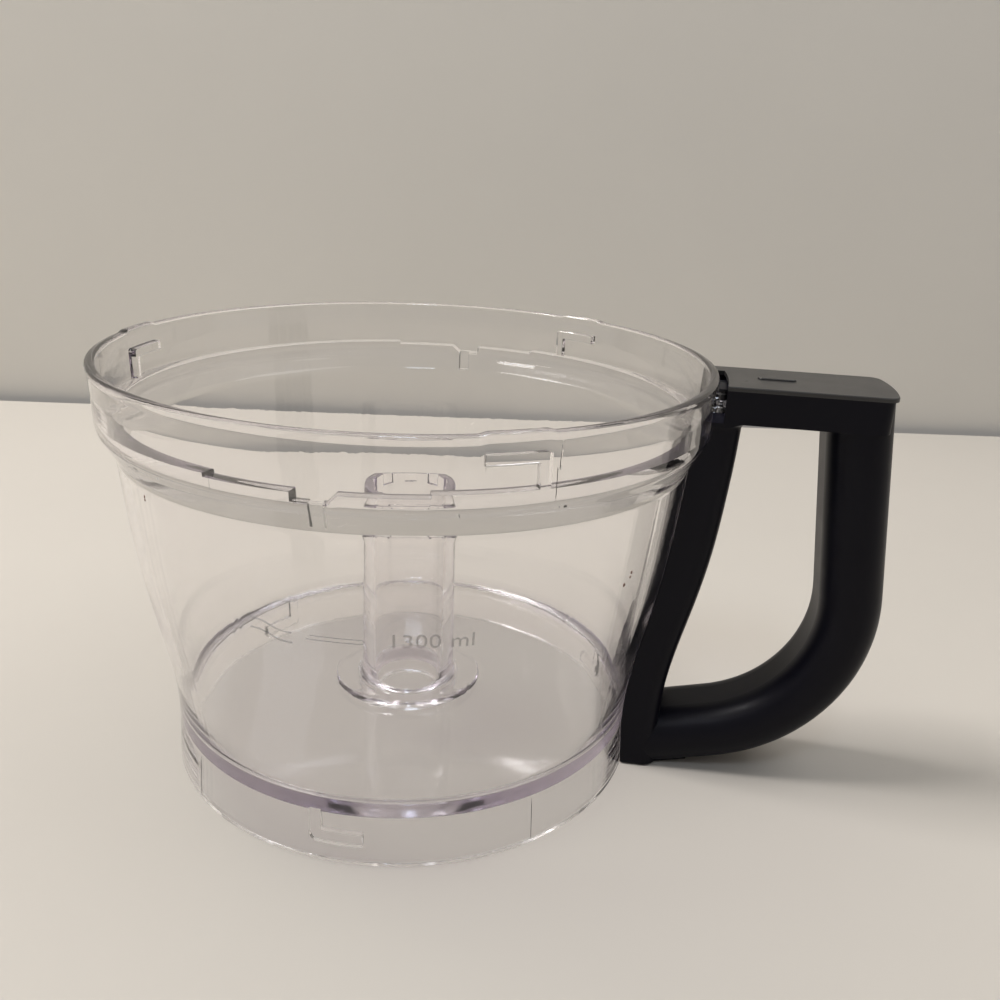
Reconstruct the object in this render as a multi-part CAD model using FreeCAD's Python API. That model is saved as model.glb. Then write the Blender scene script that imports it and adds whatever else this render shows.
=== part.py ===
import FreeCAD, Part
import math
import os

# Food processor bowl with a side handle and a lid interlock inside the handle.
# Millimetres. The bowl stands on z = 0, its axis is Z and the handle points along +X.

V = FreeCAD.Vector
os.makedirs("parts", exist_ok=True)

# Bowl: overall
RIM_R = 100.0
TOTAL_H = 140.5
WALL = 2.7

# Collar, ledge, shoulder and neck, stepped in from the rim and down from its top
RIM_FLARE = 0.9
FLARE_DROP = 8.5
COLLAR_DRAFT = 0.4
RIM_ROUND = 0.8
LEDGE_ROUND = 0.5
LEDGE_W = 4.1
LEDGE_DROP = 15.5
SHOULDER_STEP = 1.7
SHOULDER_DROP = 21.2
SHOULDER_RISE = 4.6
SHOULDER_BULGE = 0.5
NECK_STEP = 3.4
NECK_DROP = 28.0

COLLAR_R = RIM_R - RIM_FLARE
COLLAR_IN_R = COLLAR_R - WALL
RIM_IN_R = COLLAR_IN_R + COLLAR_DRAFT
LEDGE_IN_R = COLLAR_IN_R - LEDGE_W
SHOULDER_R = COLLAR_R - SHOULDER_STEP
SHOULDER_MID_R = COLLAR_R - SHOULDER_BULGE
SHOULDER_MID_RISE = 0.41 * SHOULDER_RISE
NECK_R = SHOULDER_R - NECK_STEP
LEDGE_Z = TOTAL_H - LEDGE_DROP
SHOULDER_Z = TOTAL_H - SHOULDER_DROP
NECK_Z = TOTAL_H - NECK_DROP
FLARE_Z = TOTAL_H - FLARE_DROP

# Skirt and floor
SKIRT_SHARE = 0.8745
SKIRT_WALL = 3.2
SKIRT_DRAFT = 0.9
FLOOR_UNDER = 16.1
FLOOR_T = 3.8
FLOOR_FILLET = 4.0
FLOOR_LEAN = 0.35
SKIRT_LEAN = 0.4
# How far a boss or lug runs into the wall that carries it, and a cutter past its end
ROOT = 0.8
BELOW = 5.0

SKIRT_R = NECK_R * SKIRT_SHARE
SKIRT_IN_R = SKIRT_R - SKIRT_WALL
FLOOR_TOP = FLOOR_UNDER + FLOOR_T

# Body wall from the skirt to the neck, as shares of its spread and of its height
BODY_SHARES = [(0.0, 0.0), (0.032, 0.113), (0.220, 0.284), (0.543, 0.501), (0.787, 0.711), (0.945, 0.912)]

BODY_FOOT_R = SKIRT_R - SKIRT_DRAFT
BODY_SPREAD = NECK_R - BODY_FOOT_R
BODY_RISE = NECK_Z - FLOOR_UNDER
BODY = [(BODY_FOOT_R + a * BODY_SPREAD, FLOOR_UNDER + b * BODY_RISE) for a, b in BODY_SHARES]

# Centre tube for the drive shaft
TUBE_TOP_DROP = 48.1
TUBE_TOP_R = 15.9
TUBE_FOOT_R = 16.7
TUBE_BORE_R = 12.5
TUBE_FOOT_FILLET = 2.5
SPLINES = 9
SPLINE_DEPTH = 0.9
SPLINE_H = 4.2
SPLINE_FIRST = -67.5
PEDESTAL_R = 26.5
PEDESTAL_H = 1.6
PEDESTAL_ROUND = 0.8
TUBE_CHAMFER = 0.6
HUB_R = 17.5
HUB_DROP = 5.0

# Lid lugs inside the collar: an arm with a stop leg at one end
LUG_COUNT = 3
LUG_END = 63.8
LUG_ARC = 10.3
LUG_LEG_ARC = 1.7
LUG_IN = 2.3
LUG_TOP_DROP = 5.6
LUG_ARM_H = 2.9
LUG_ROUND = 1.0
RIM_PAD_H = 0.6
RIM_PAD_RAMP = 1.3

# Ledge: two lower stretches, each with a key slot
LOW_START = -109.2
LOW_END = -74.2
LOW_DEPTH = 1.0
SLOT_START = -94.7
SLOT_END = -89.6
SLOT_RAMP_END = -88.0
SLOT_DROP = 18.8
CHANNEL_START = -92.4
CHANNEL_END = -90.0
CHANNEL_DEPTH = 1.3
CHANNEL_DROP = 26.2

CHANNEL_R = LEDGE_IN_R + CHANNEL_DEPTH

# Base lugs inside the skirt
BASE_LUG_COUNT = 3
BASE_LUG_START = -98.7
BASE_LUG_LEG_ARC = 2.7
BASE_LUG_ARC = 12.1
BASE_LUG_IN = 2.0
BASE_LUG_ARM_H = 4.3
BASE_LUG_UNDER = 4.9
BASE_LUG_ROUND = 3.0

# Mould parting lines and level marks, raised on the outside
LINE_W = 0.35
LINE_H = 0.2
COLLAR_LINE = -55.7
SKIRT_LINES = (-131.7, -48.8)
MARK_SHARE = 0.673
MARK_W = 0.55
BAR_START = -94.5
BAR_END = -84.8
BAR_TALL = 1.3
BAR_W = 0.33
BAR_NOSE = 0.3
WAVE_START = -104.7
WAVE_END = -97.2
WAVE_STEP = 3.2
WAVE_DIP = 2.3
WAVE_RISE = 0.7

MARK_Z = FLOOR_UNDER + MARK_SHARE * BODY_RISE

# Handle: the top bar hangs from the rim's height and stands off the collar
TOP_W = 30.2
TOP_DROP = 1.2
TOP_H = 11.7
TOP_L = 51.2
TOP_GAP = 3.7
SIDE_STEP = 0.3
END_STEP = 0.9
COVER_T = 1.4
COVER_ROUND = 0.4
COVER_RIM_T = 1.45
COVER_RIM_H = 1.6
COVER_RIM_BACK = 3.5
TOP_WALL = 2.4
TOP_FLOOR_T = 2.2
TOP_END_BULGE = 1.8
TOP_CORNER_R = 4.0
ARM_W = 7.3
ARM_START = 3.0
JOIN_ROUND = 2.5
BOWL_GAP = 0.15
FIT = 0.1

HANDLE_W = TOP_W - 2 * SIDE_STEP
TOP_Z = TOTAL_H - TOP_DROP
TOP_UNDER = TOP_Z - TOP_H
TOP_FLOOR = TOP_UNDER + TOP_FLOOR_T
TOP_IN_X = COLLAR_R + TOP_GAP
TOP_OUT_X = TOP_IN_X + TOP_L
TOP_CORNER_X = TOP_OUT_X - TOP_END_BULGE
ARM_X = TOP_IN_X - TOP_GAP - ARM_START
ARM_Y = TOP_W / 2 - ARM_W

# Inner bar of the handle, which follows the body's wall
BAR_T = 11.8
BAR_SWELL = 1.35
SWELL_FROM = 0.2
SWELL_TO = 0.77
BAR_CORNER = 5.0
BAR_SKIN = 2.3
BAR_RUN = 18.0
POCKETS = 4
POCKET_W = 7.0
POCKET_DROP = 15.0
RIB_T = 2.0

# The inner bar's line runs on past both ends of the body's wall
BAR_LINE_LOW = (SKIRT_R - 0.2, -4.0)
BAR_LINE_HIGH = [(NECK_R + 0.9, NECK_Z + BAR_RUN), (NECK_R + 1.3, NECK_Z + BAR_RUN + 9.0)]

# Grip: a straight run down from the top bar, a bend and a run back to the foot
GRIP_T = 20.0
GRIP_ROUND = 9.5
GRIP_WALL = 3.5
GRIP_TOP_IN = 9.7
GRIP_CORNER_OUT = 2.6
GRIP_CORNER_Z = 23.8
GRIP_LOW_OUT = 5.8
GRIP_LOW_Z = 7.4
GRIP_BEND_R = 52.0
HOLLOW_STOP = 20.0

GRIP_TOP = (TOP_OUT_X - GRIP_TOP_IN, TOP_UNDER + 1.0)
GRIP_CORNER = (TOP_OUT_X + GRIP_CORNER_OUT, GRIP_CORNER_Z)
GRIP_LOW = (SKIRT_R + GRIP_LOW_OUT, GRIP_LOW_Z)

# Foot of the handle: as wide as the bar beside the skirt, then narrower outwards
FOOT_Z = 0.5
FOOT_H = 3.8
FOOT_WIDE = 4.3
FOOT_L = 22.3
FOOT_STEP = 0.6
FOOT_END_W = 16.3

FOOT_TOP = FOOT_Z + FOOT_H
FOOT_X = SKIRT_R + FOOT_L

# Clear tab of the bowl inside the handle, and the screws
TAB_LIFT = 0.1
TAB_T = 1.8
TAB_REACH = 5.2
TAB_STEP = 3.6
TAB_SLOT_W = 6.4
TAB_RIM = 2.0
TAB_FIT = 0.3
SCREW_R = 1.4
SCREW_FIT = 0.02
SCREW_HEAD_R = 2.7
SCREW_HEAD_H = 1.8
SCREW_SINK = 0.5
SCREW_ROUND = 0.8
SCREW_LEN = 9.5
SCREW_SHARE = 0.3
CROSS_L = 3.0
CROSS_W = 0.8
CROSS_H = 1.0
TOP_SCREW_OUT = 1.4
LOW_SCREW_OUT = 5.2
LOW_BOSS_R = 3.3
LOW_BOSS_H = 11.6
LOW_WEB_T = 2.0

TAB_UNDER = TOP_FLOOR + TAB_LIFT
TAB_TOP = TAB_UNDER + TAB_T
TAB_X = TOP_IN_X + TAB_REACH
TAB_W = TOP_W - 2 * TAB_STEP
SCREW_Y = SCREW_SHARE * TOP_W
TOP_SCREW_X = TOP_IN_X + TOP_SCREW_OUT
LOW_SCREW_X = SKIRT_R + LOW_SCREW_OUT
LOW_BOSS_UNDER = FOOT_TOP + FIT
LOW_BOSS_TOP = LOW_BOSS_UNDER + LOW_BOSS_H
LOW_SCREW_Z = FOOT_Z + SCREW_HEAD_H + SCREW_SINK

# Interlock push rod and its spring. The rod slides down until its head meets the tab,
# and the spring lifts it until the top of its bar meets the seat.
ROD_TRAVEL = 3.0
STOP_GAP = 0.1
ROD_OUT = 3.5
ROD_R = 1.5
ROD_IN = 5.4
ROD_T = 3.0
ROD_W = 6.4
ROD_FOOT_Z = 5.0
ROD_FOOT_H = 5.0
HEAD_OUT = 1.1
HEAD_L = 5.6
HEAD_H = 2.2
HEAD_W = 7.6
HEAD_RAMP = 1.2
CHANNEL_W = 8.0
CHANNEL_ROOM = 1.1
SEAT_UNDER_TAB = 7.7
SEAT_T = 2.0
SPRING_R = 2.05
WIRE_R = 0.25
SPRING_TURNS = 5
SPRING_ROOM_W = 5.8
ROD_NOTCH_W = 3.7

ROD_X = COLLAR_R + ROD_OUT
HEAD_X1 = COLLAR_R + HEAD_OUT
HEAD_X2 = HEAD_X1 + HEAD_L
HEAD_UNDER = TAB_TOP + ROD_TRAVEL + STOP_GAP
HEAD_TOP = HEAD_UNDER + HEAD_H
SEAT_TOP = TAB_UNDER - SEAT_UNDER_TAB
ROD_BAR_TOP = SEAT_TOP - SEAT_T - STOP_GAP

# Oblong mark on the cover
OBLONG_OUT = 15.3
OBLONG_L = 12.0
OBLONG_W = 3.2
OBLONG_H = 0.5

OBLONG_X = TOP_IN_X + OBLONG_OUT


def line(a, b):
    return Part.makeLine(a, b)


def curve(points):
    spline = Part.BSplineCurve()
    spline.interpolate(points)
    return spline.toShape()


def arc(a, mid, b):
    return Part.Arc(a, mid, b).toShape()


def xz(x, z):
    return V(x, 0, z)


def solid_of_revolution(edges):
    wire = Part.Wire(Part.__sortEdges__(edges))
    face = Part.Face(wire)
    return face.revolve(V(0, 0, 0), V(0, 0, 1), 360)


def polygon(points):
    return Part.makePolygon(points + [points[0]])


def turned(shape, degrees):
    out = shape.copy()
    out.rotate(V(0, 0, 0), V(0, 0, 1), degrees)
    return out


def box(x1, x2, y1, y2, z1, z2):
    return Part.makeBox(x2 - x1, y2 - y1, z2 - z1, V(x1, y1, z1))


def cylinder(radius, z1, z2, x=0.0, y=0.0):
    return Part.makeCylinder(radius, z2 - z1, V(x, y, z1))


def sector(r1, r2, z1, z2, start, end):
    wedge = Part.makeCylinder(r2, z2 - z1, V(0, 0, z1), V(0, 0, 1), end - start)
    ring = wedge.cut(cylinder(r1, z1 - 1, z2 + 1))
    return turned(ring, start)


def swell(z):
    """Share of the bar's extra thickness at a height: none at its foot, all of it higher up."""
    t = ((z - FLOOR_UNDER) / BODY_RISE - SWELL_FROM) / (SWELL_TO - SWELL_FROM)
    t = max(0.0, min(1.0, t))
    return t * t * (3 - 2 * t)


def strip(inner, outer, z1, z2, half_w, extra=0.0):
    """Bar that follows the body wall between two offsets from it."""
    points = [BAR_LINE_LOW] + BODY + [(NECK_R, NECK_Z)] + BAR_LINE_HIGH
    near = curve([xz(r + inner, z) for r, z in points])
    far = curve([xz(r + outer + extra * swell(z), z) for r, z in points])
    near_a = near.Vertexes[0].Point
    near_b = near.Vertexes[-1].Point
    far_a = far.Vertexes[0].Point
    far_b = far.Vertexes[-1].Point
    wire = Part.Wire(Part.__sortEdges__([near, far, line(near_a, far_a), line(near_b, far_b)]))
    bar = Part.Face(wire).extrude(V(0, 2 * half_w, 0))
    bar.translate(V(0, -half_w, 0))
    return bar.common(box(60, 140, -half_w - 1, half_w + 1, z1, z2))


def outer_edges(gap):
    """Outside of the bowl from the skirt's foot to the rim, moved out by a gap."""
    edges = [line(xz(SKIRT_R + gap, 0), xz(BODY_FOOT_R + gap, FLOOR_UNDER))]
    edges.append(curve([xz(r + gap, z) for r, z in BODY] + [xz(NECK_R + gap, NECK_Z)]))
    edges.append(line(xz(NECK_R + gap, NECK_Z), xz(SHOULDER_R + gap, SHOULDER_Z)))
    edges.append(arc(xz(SHOULDER_R + gap, SHOULDER_Z),
                     xz(SHOULDER_MID_R + gap, SHOULDER_Z + SHOULDER_MID_RISE),
                     xz(COLLAR_R + gap, SHOULDER_Z + SHOULDER_RISE)))
    edges.append(line(xz(COLLAR_R + gap, SHOULDER_Z + SHOULDER_RISE),
                      xz(COLLAR_R + gap, FLARE_Z)))
    return edges


def bowl_envelope(gap):
    edges = outer_edges(gap)
    top = TOTAL_H + BELOW
    rim_z = TOTAL_H - 2 * RIM_ROUND
    edges.append(line(xz(COLLAR_R + gap, FLARE_Z), xz(RIM_R + gap, rim_z)))
    edges.append(line(xz(RIM_R + gap, rim_z), xz(RIM_R + gap, top)))
    edges.append(line(xz(RIM_R + gap, top), xz(0, top)))
    edges.append(line(xz(0, top), xz(0, -BELOW)))
    edges.append(line(xz(0, -BELOW), xz(SKIRT_R + gap, -BELOW)))
    edges.append(line(xz(SKIRT_R + gap, -BELOW), xz(SKIRT_R + gap, 0)))
    return solid_of_revolution(edges)


def bowl_shell():
    edges = outer_edges(0.0)
    a = RIM_ROUND
    b = a * (1 - math.sqrt(0.5))
    edges.append(line(xz(COLLAR_R, FLARE_Z), xz(RIM_R, TOTAL_H - a)))
    edges.append(arc(xz(RIM_R, TOTAL_H - a), xz(RIM_R - b, TOTAL_H - b), xz(RIM_R - a, TOTAL_H)))
    edges.append(line(xz(RIM_R - a, TOTAL_H), xz(RIM_IN_R + a, TOTAL_H)))
    edges.append(arc(xz(RIM_IN_R + a, TOTAL_H), xz(RIM_IN_R + b, TOTAL_H - b),
                     xz(RIM_IN_R, TOTAL_H - a)))
    edges.append(line(xz(RIM_IN_R, TOTAL_H - a), xz(COLLAR_IN_R, LEDGE_Z)))
    a = LEDGE_ROUND
    b = a * (1 - math.sqrt(0.5))
    edges.append(line(xz(COLLAR_IN_R, LEDGE_Z), xz(LEDGE_IN_R + a, LEDGE_Z)))
    edges.append(arc(xz(LEDGE_IN_R + a, LEDGE_Z), xz(LEDGE_IN_R + b, LEDGE_Z - b),
                     xz(LEDGE_IN_R, LEDGE_Z - a)))
    inside = [xz(LEDGE_IN_R, LEDGE_Z - a), xz(NECK_R - WALL, NECK_Z)]
    inside += [xz(r - WALL, z) for r, z in reversed(BODY[1:])]
    foot_r = BODY[1][0] - WALL - FLOOR_LEAN
    inside.append(xz(foot_r, FLOOR_TOP + FLOOR_FILLET))
    edges.append(curve(inside))
    fillet_c = foot_r - FLOOR_FILLET
    diag = FLOOR_FILLET * (1 - math.sqrt(0.5))
    edges.append(arc(xz(foot_r, FLOOR_TOP + FLOOR_FILLET),
                     xz(foot_r - diag, FLOOR_TOP + diag), xz(fillet_c, FLOOR_TOP)))
    edges.append(line(xz(fillet_c, FLOOR_TOP), xz(0, FLOOR_TOP)))
    edges.append(line(xz(0, FLOOR_TOP), xz(0, FLOOR_UNDER)))
    edges.append(line(xz(0, FLOOR_UNDER), xz(SKIRT_IN_R - SKIRT_LEAN, FLOOR_UNDER)))
    edges.append(line(xz(SKIRT_IN_R - SKIRT_LEAN, FLOOR_UNDER), xz(SKIRT_IN_R, 0)))
    edges.append(line(xz(SKIRT_IN_R, 0), xz(SKIRT_R, 0)))
    return solid_of_revolution(edges)


def centre_tube():
    top = TOTAL_H - TUBE_TOP_DROP
    under = FLOOR_UNDER - HUB_DROP
    boss_top = FLOOR_TOP + PEDESTAL_H
    f = TUBE_FOOT_FILLET
    d = f * (1 - math.sqrt(0.5))
    points = [xz(TUBE_BORE_R, under), xz(HUB_R, under), xz(HUB_R, FLOOR_UNDER + 1)]
    e = PEDESTAL_ROUND
    g = e * (1 - math.sqrt(0.5))
    points += [xz(PEDESTAL_R, FLOOR_UNDER + 1), xz(PEDESTAL_R, boss_top - e)]
    edges = [line(a, b) for a, b in zip(points[:-1], points[1:])]
    edges.append(arc(points[-1], xz(PEDESTAL_R - g, boss_top - g), xz(PEDESTAL_R - e, boss_top)))
    edges.append(line(xz(PEDESTAL_R - e, boss_top), xz(TUBE_FOOT_R + f, boss_top)))
    edges.append(arc(xz(TUBE_FOOT_R + f, boss_top), xz(TUBE_FOOT_R + d, boss_top + d),
                     xz(TUBE_FOOT_R, boss_top + f)))
    edges.append(line(xz(TUBE_FOOT_R, boss_top + f), xz(TUBE_TOP_R, top - TUBE_CHAMFER)))
    edges.append(line(xz(TUBE_TOP_R, top - TUBE_CHAMFER), xz(TUBE_TOP_R - TUBE_CHAMFER, top)))
    edges.append(line(xz(TUBE_TOP_R - TUBE_CHAMFER, top), xz(TUBE_BORE_R, top)))
    edges.append(line(xz(TUBE_BORE_R, top), xz(TUBE_BORE_R, under)))
    tube = solid_of_revolution(edges)
    pitch = 360.0 / SPLINES
    for i in range(SPLINES):
        start = SPLINE_FIRST + i * pitch
        tube = tube.cut(sector(TUBE_BORE_R - 1, TUBE_BORE_R + SPLINE_DEPTH,
                               top - SPLINE_H, top + 1, start, start + pitch / 2))
    return tube


def lid_lug(end):
    """Arm under which a tab of the lid turns, with its stop leg at the far end."""
    z_top = TOTAL_H - LUG_TOP_DROP
    z_arm = z_top - LUG_ARM_H
    r1 = COLLAR_IN_R - LUG_IN
    arm = sector(r1, COLLAR_IN_R + ROOT, z_arm, z_top, end - LUG_ARC, end)
    leg = sector(r1, COLLAR_IN_R + ROOT, LEDGE_Z - ROOT, z_top, end - LUG_LEG_ARC, end)
    lug = arm.fuse(leg).removeSplitter()
    rounded = []
    for edge in lug.Edges:
        c = edge.CenterOfMass
        at_end = abs(math.degrees(math.atan2(c.y, c.x)) - ((end + 180) % 360 - 180)) < 0.05
        if at_end and abs(c.z - z_top) < 0.01 and edge.Length < LUG_IN + 1.0:
            rounded.append(edge)
    if rounded:
        lug = lug.makeFillet(LUG_ROUND, rounded)
    return lug


def rim_pad(start, end):
    """Low pad on the rim over a lid lug, with a ramp at each end."""
    r1 = RIM_IN_R + RIM_ROUND / 2
    r2 = RIM_R - RIM_ROUND / 2
    z1 = TOTAL_H - RIM_ROUND / 2
    pad = sector(r1, r2, z1, TOTAL_H + RIM_PAD_H, start + RIM_PAD_RAMP, end - RIM_PAD_RAMP)
    low = sector(r1, r2, z1, TOTAL_H + RIM_PAD_H / 2, start, end)
    return pad.fuse(low)


def key_slot_cuts():
    """Cuts of one lower ledge stretch with its key slot."""
    cuts = [sector(LEDGE_IN_R - 2, COLLAR_IN_R, LEDGE_Z - LOW_DEPTH, LEDGE_Z + 1,
                   LOW_START, LOW_END)]
    slot_z = TOTAL_H - SLOT_DROP
    cuts.append(sector(LEDGE_IN_R - 3, COLLAR_IN_R, slot_z, LEDGE_Z + 1, SLOT_START, SLOT_END))
    steps = 4
    for i in range(steps):
        share = (i + 1.0) / (steps + 1)
        start = SLOT_END + (SLOT_RAMP_END - SLOT_END) * i / steps
        end = SLOT_END + (SLOT_RAMP_END - SLOT_END) * (i + 1.0) / steps
        floor = slot_z + (LEDGE_Z - LOW_DEPTH - slot_z) * share
        cuts.append(sector(LEDGE_IN_R - 3, COLLAR_IN_R, floor, LEDGE_Z + 1, start, end))
    cuts.append(sector(LEDGE_IN_R - 4, CHANNEL_R, TOTAL_H - CHANNEL_DROP, LEDGE_Z + 1,
                       CHANNEL_START, CHANNEL_END))
    return cuts


def base_lug(start):
    """Lug inside the skirt that turns under a catch of the motor base."""
    r1 = SKIRT_IN_R - BASE_LUG_IN
    z_arm = BASE_LUG_UNDER
    arm = sector(r1, SKIRT_IN_R + ROOT, z_arm, z_arm + BASE_LUG_ARM_H, start, start + BASE_LUG_ARC)
    leg = sector(r1, SKIRT_IN_R + ROOT, z_arm, FLOOR_UNDER + ROOT, start, start + BASE_LUG_LEG_ARC)
    lug = arm.fuse(leg).removeSplitter()
    rounded = []
    for edge in lug.Edges:
        c = edge.CenterOfMass
        turn = (math.degrees(math.atan2(c.y, c.x)) - start + 180) % 360 - 180
        if abs(turn) < 0.05 and abs(c.z - z_arm) < 0.01 and edge.Length < BASE_LUG_IN + 1.2:
            rounded.append(edge)
    if rounded:
        lug = lug.makeFillet(BASE_LUG_ROUND, rounded)
    return lug


def wall_radius(z):
    """Outer radius of the body at a height, by sampling the wall's spline."""
    edge = curve([xz(r, h) for r, h in BODY] + [xz(NECK_R, NECK_Z)])
    low, high = edge.FirstParameter, edge.LastParameter
    for _ in range(40):
        mid = 0.5 * (low + high)
        if edge.valueAt(mid).z < z:
            low = mid
        else:
            high = mid
    return edge.valueAt(low).x


def mark_rod(points, width):
    """Raised line on the outside of the body through points of angle and height."""
    pieces = []
    for a, z in points:
        r = wall_radius(z)
        c = V(r * math.cos(math.radians(a)), r * math.sin(math.radians(a)), z)
        pieces.append(c)
    path = curve(pieces)
    start = path.valueAt(path.FirstParameter)
    tangent = path.tangentAt(path.FirstParameter)
    ring = Part.Wire([Part.Circle(start, tangent, width / 2).toShape()])
    return Part.Wire([path]).makePipeShell([ring], True, False)


def level_marks():
    marks = []
    for drop in (0.0, WAVE_STEP):
        points = []
        for i in range(5):
            t = i / 4.0
            a = WAVE_START + (WAVE_END - WAVE_START) * t
            fall = WAVE_DIP * (0.5 - 0.5 * math.cos(math.pi * t))
            z = MARK_Z + WAVE_RISE + WAVE_DIP - drop - fall
            points.append((a, z))
        marks.append(mark_rod(points, MARK_W))
    for z in (MARK_Z - BAR_TALL / 2, MARK_Z + BAR_TALL / 2):
        points = [(BAR_START + (BAR_END - BAR_START) * i / 4.0, z) for i in range(5)]
        marks.append(mark_rod(points, BAR_W))
    ends = [(BAR_END, MARK_Z - BAR_TALL / 2), (BAR_END + BAR_NOSE, MARK_Z), (BAR_END, MARK_Z + BAR_TALL / 2)]
    marks.append(mark_rod(ends, BAR_W))
    return marks


def parting_line(angle, radius, z1, z2):
    rib = box(radius - LINE_W, radius + LINE_H, -LINE_W / 2, LINE_W / 2, z1, z2)
    return turned(rib, angle)


def handle_tab():
    """Clear tab on the collar that the top of the handle is screwed down on."""
    half = TAB_W / 2
    slot = TAB_SLOT_W / 2
    tab = box(COLLAR_R - WALL / 2, TAB_X, -half, half, TAB_UNDER, TAB_TOP)
    tab = tab.cut(box(HEAD_X1 - TAB_FIT, TAB_X - TAB_RIM, -slot, slot, TAB_UNDER - 1, TAB_TOP + 1))
    for y in (-SCREW_Y, SCREW_Y):
        tab = tab.cut(cylinder(SCREW_R + FIT, TAB_UNDER - 1, TAB_TOP + 1, TOP_SCREW_X, y))
    return tab


def low_boss(y):
    """Clear screw boss on the outside of the skirt, inside the foot of the handle."""
    half = LOW_WEB_T / 2
    root_x = SKIRT_R - SKIRT_WALL / 2
    web = box(root_x, LOW_SCREW_X, y - half, y + half, LOW_BOSS_UNDER, LOW_BOSS_TOP)
    boss = cylinder(LOW_BOSS_R, LOW_BOSS_UNDER, LOW_BOSS_TOP, LOW_SCREW_X, y)
    solid = boss.fuse(web)
    hole_top = LOW_SCREW_Z + SCREW_LEN + SCREW_SINK
    return solid.cut(cylinder(SCREW_R + SCREW_FIT, 0, hole_top, LOW_SCREW_X, y))


def make_bowl():
    bowl = bowl_shell()
    bowl = bowl.fuse(centre_tube())
    bowl = bowl.cut(cylinder(TUBE_BORE_R, 0, TOTAL_H - TUBE_TOP_DROP + 1))
    adds = [handle_tab()]
    for y in (-SCREW_Y, SCREW_Y):
        adds.append(low_boss(y))
    for i in range(LUG_COUNT):
        end = LUG_END + i * 360.0 / LUG_COUNT
        adds.append(lid_lug(end))
        adds.append(rim_pad(end - LUG_ARC - RIM_PAD_RAMP, end))
    for i in range(BASE_LUG_COUNT):
        adds.append(base_lug(BASE_LUG_START + i * 360.0 / BASE_LUG_COUNT))
    adds.append(parting_line(COLLAR_LINE, COLLAR_R, SHOULDER_Z + SHOULDER_RISE, FLARE_Z))
    for angle in SKIRT_LINES:
        adds.append(parting_line(angle, SKIRT_R - SKIRT_DRAFT / 2, 1.0, FLOOR_UNDER))
    adds += level_marks()
    bowl = bowl.fuse(adds)
    cuts = []
    for half_turn in (0, 180):
        for cut in key_slot_cuts():
            cuts.append(turned(cut, half_turn))
    return bowl.cut(cuts).removeSplitter()


def grip_path():
    """Centre line of the grip: corner tangents, bend centre and directions."""
    top = xz(*GRIP_TOP)
    corner = xz(*GRIP_CORNER)
    low = xz(*GRIP_LOW)
    d1 = (corner - top).normalize()
    d2 = (low - corner).normalize()
    turn = math.acos(max(-1.0, min(1.0, d1.dot(d2))))
    reach = GRIP_BEND_R * math.tan(turn / 2)
    p1 = corner - d1 * reach
    p2 = corner + d2 * reach
    n1 = V(-d1.z, 0, d1.x)
    n2 = V(-d2.z, 0, d2.x)
    centre = p1 - n1 * GRIP_BEND_R
    return top, p1, p2, low, n1, n2, centre


def grip_band(d1, d2, half_w, start=0.0, end=0.0):
    """Flat band along the grip between two offsets, outward positive."""
    top, p1, p2, low, n1, n2, centre = grip_path()
    down = (p1 - top).normalize()
    back = (low - p2).normalize()
    a = top + down * start
    b = low - back * end
    mid_dir = ((p1 - centre).normalize() + (p2 - centre).normalize()).normalize()

    def contour(d):
        first = line(a + n1 * d, p1 + n1 * d)
        bend = arc(p1 + n1 * d, centre + mid_dir * (GRIP_BEND_R + d), p2 + n2 * d)
        last = line(p2 + n2 * d, b + n2 * d)
        return [first, bend, last]

    edges = contour(d1) + contour(d2)
    edges.append(line(a + n1 * d1, a + n1 * d2))
    edges.append(line(b + n2 * d1, b + n2 * d2))
    face = Part.Face(Part.Wire(Part.__sortEdges__(edges)))
    solid = face.extrude(V(0, 2 * half_w, 0))
    solid.translate(V(0, -half_w, 0))
    return solid


def grip_solid(wall, start, end):
    """Rounded rod along the grip's path, a wall's thickness inside its surface."""
    half = HANDLE_W / 2 - wall
    thick = GRIP_T - 2 * wall
    solid = grip_band(-thick / 2, thick / 2, half, start, end)
    long_edges = []
    for edge in solid.Edges:
        on_side = all(abs(abs(v.Point.y) - half) < 1e-3 for v in edge.Vertexes)
        ys = [v.Point.y for v in edge.Vertexes]
        flat = abs(ys[0] - ys[-1]) < 1e-3
        if on_side and flat and edge.Length > thick + 1:
            long_edges.append(edge)
    return solid.makeFillet(GRIP_ROUND - wall, long_edges)


def top_outline(inset, z1, z2, start_x, short=0.0):
    """Plan of the top bar: straight sides and a gently round outer end."""
    half = TOP_W / 2 - inset
    corner = TOP_CORNER_X - inset - short
    tip = TOP_OUT_X - inset - short
    a = V(start_x, -half, z1)
    b = V(corner, -half, z1)
    c = V(corner, half, z1)
    d = V(start_x, half, z1)
    edges = [line(a, b), arc(b, V(tip, 0, z1), c), line(c, d), line(d, a)]
    solid = Part.Face(Part.Wire(edges)).extrude(V(0, 0, z2 - z1))
    corners = []
    for edge in solid.Edges:
        p = edge.CenterOfMass
        if abs(p.x - corner) < 0.01 and abs(abs(p.y) - half) < 0.01 and abs(p.z - (z1 + z2) / 2) < 0.01:
            corners.append(edge)
    return solid.makeFillet(max(TOP_CORNER_R - inset, 1.0), corners)


def stand_off(z1, z2):
    """Room left free round the collar, up to the arm on the far side."""
    ring = cylinder(TOP_IN_X, z1, z2)
    return ring.cut(box(0, TOP_OUT_X, ARM_Y, TOP_W, z1 - 1, z2 + 1))


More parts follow.
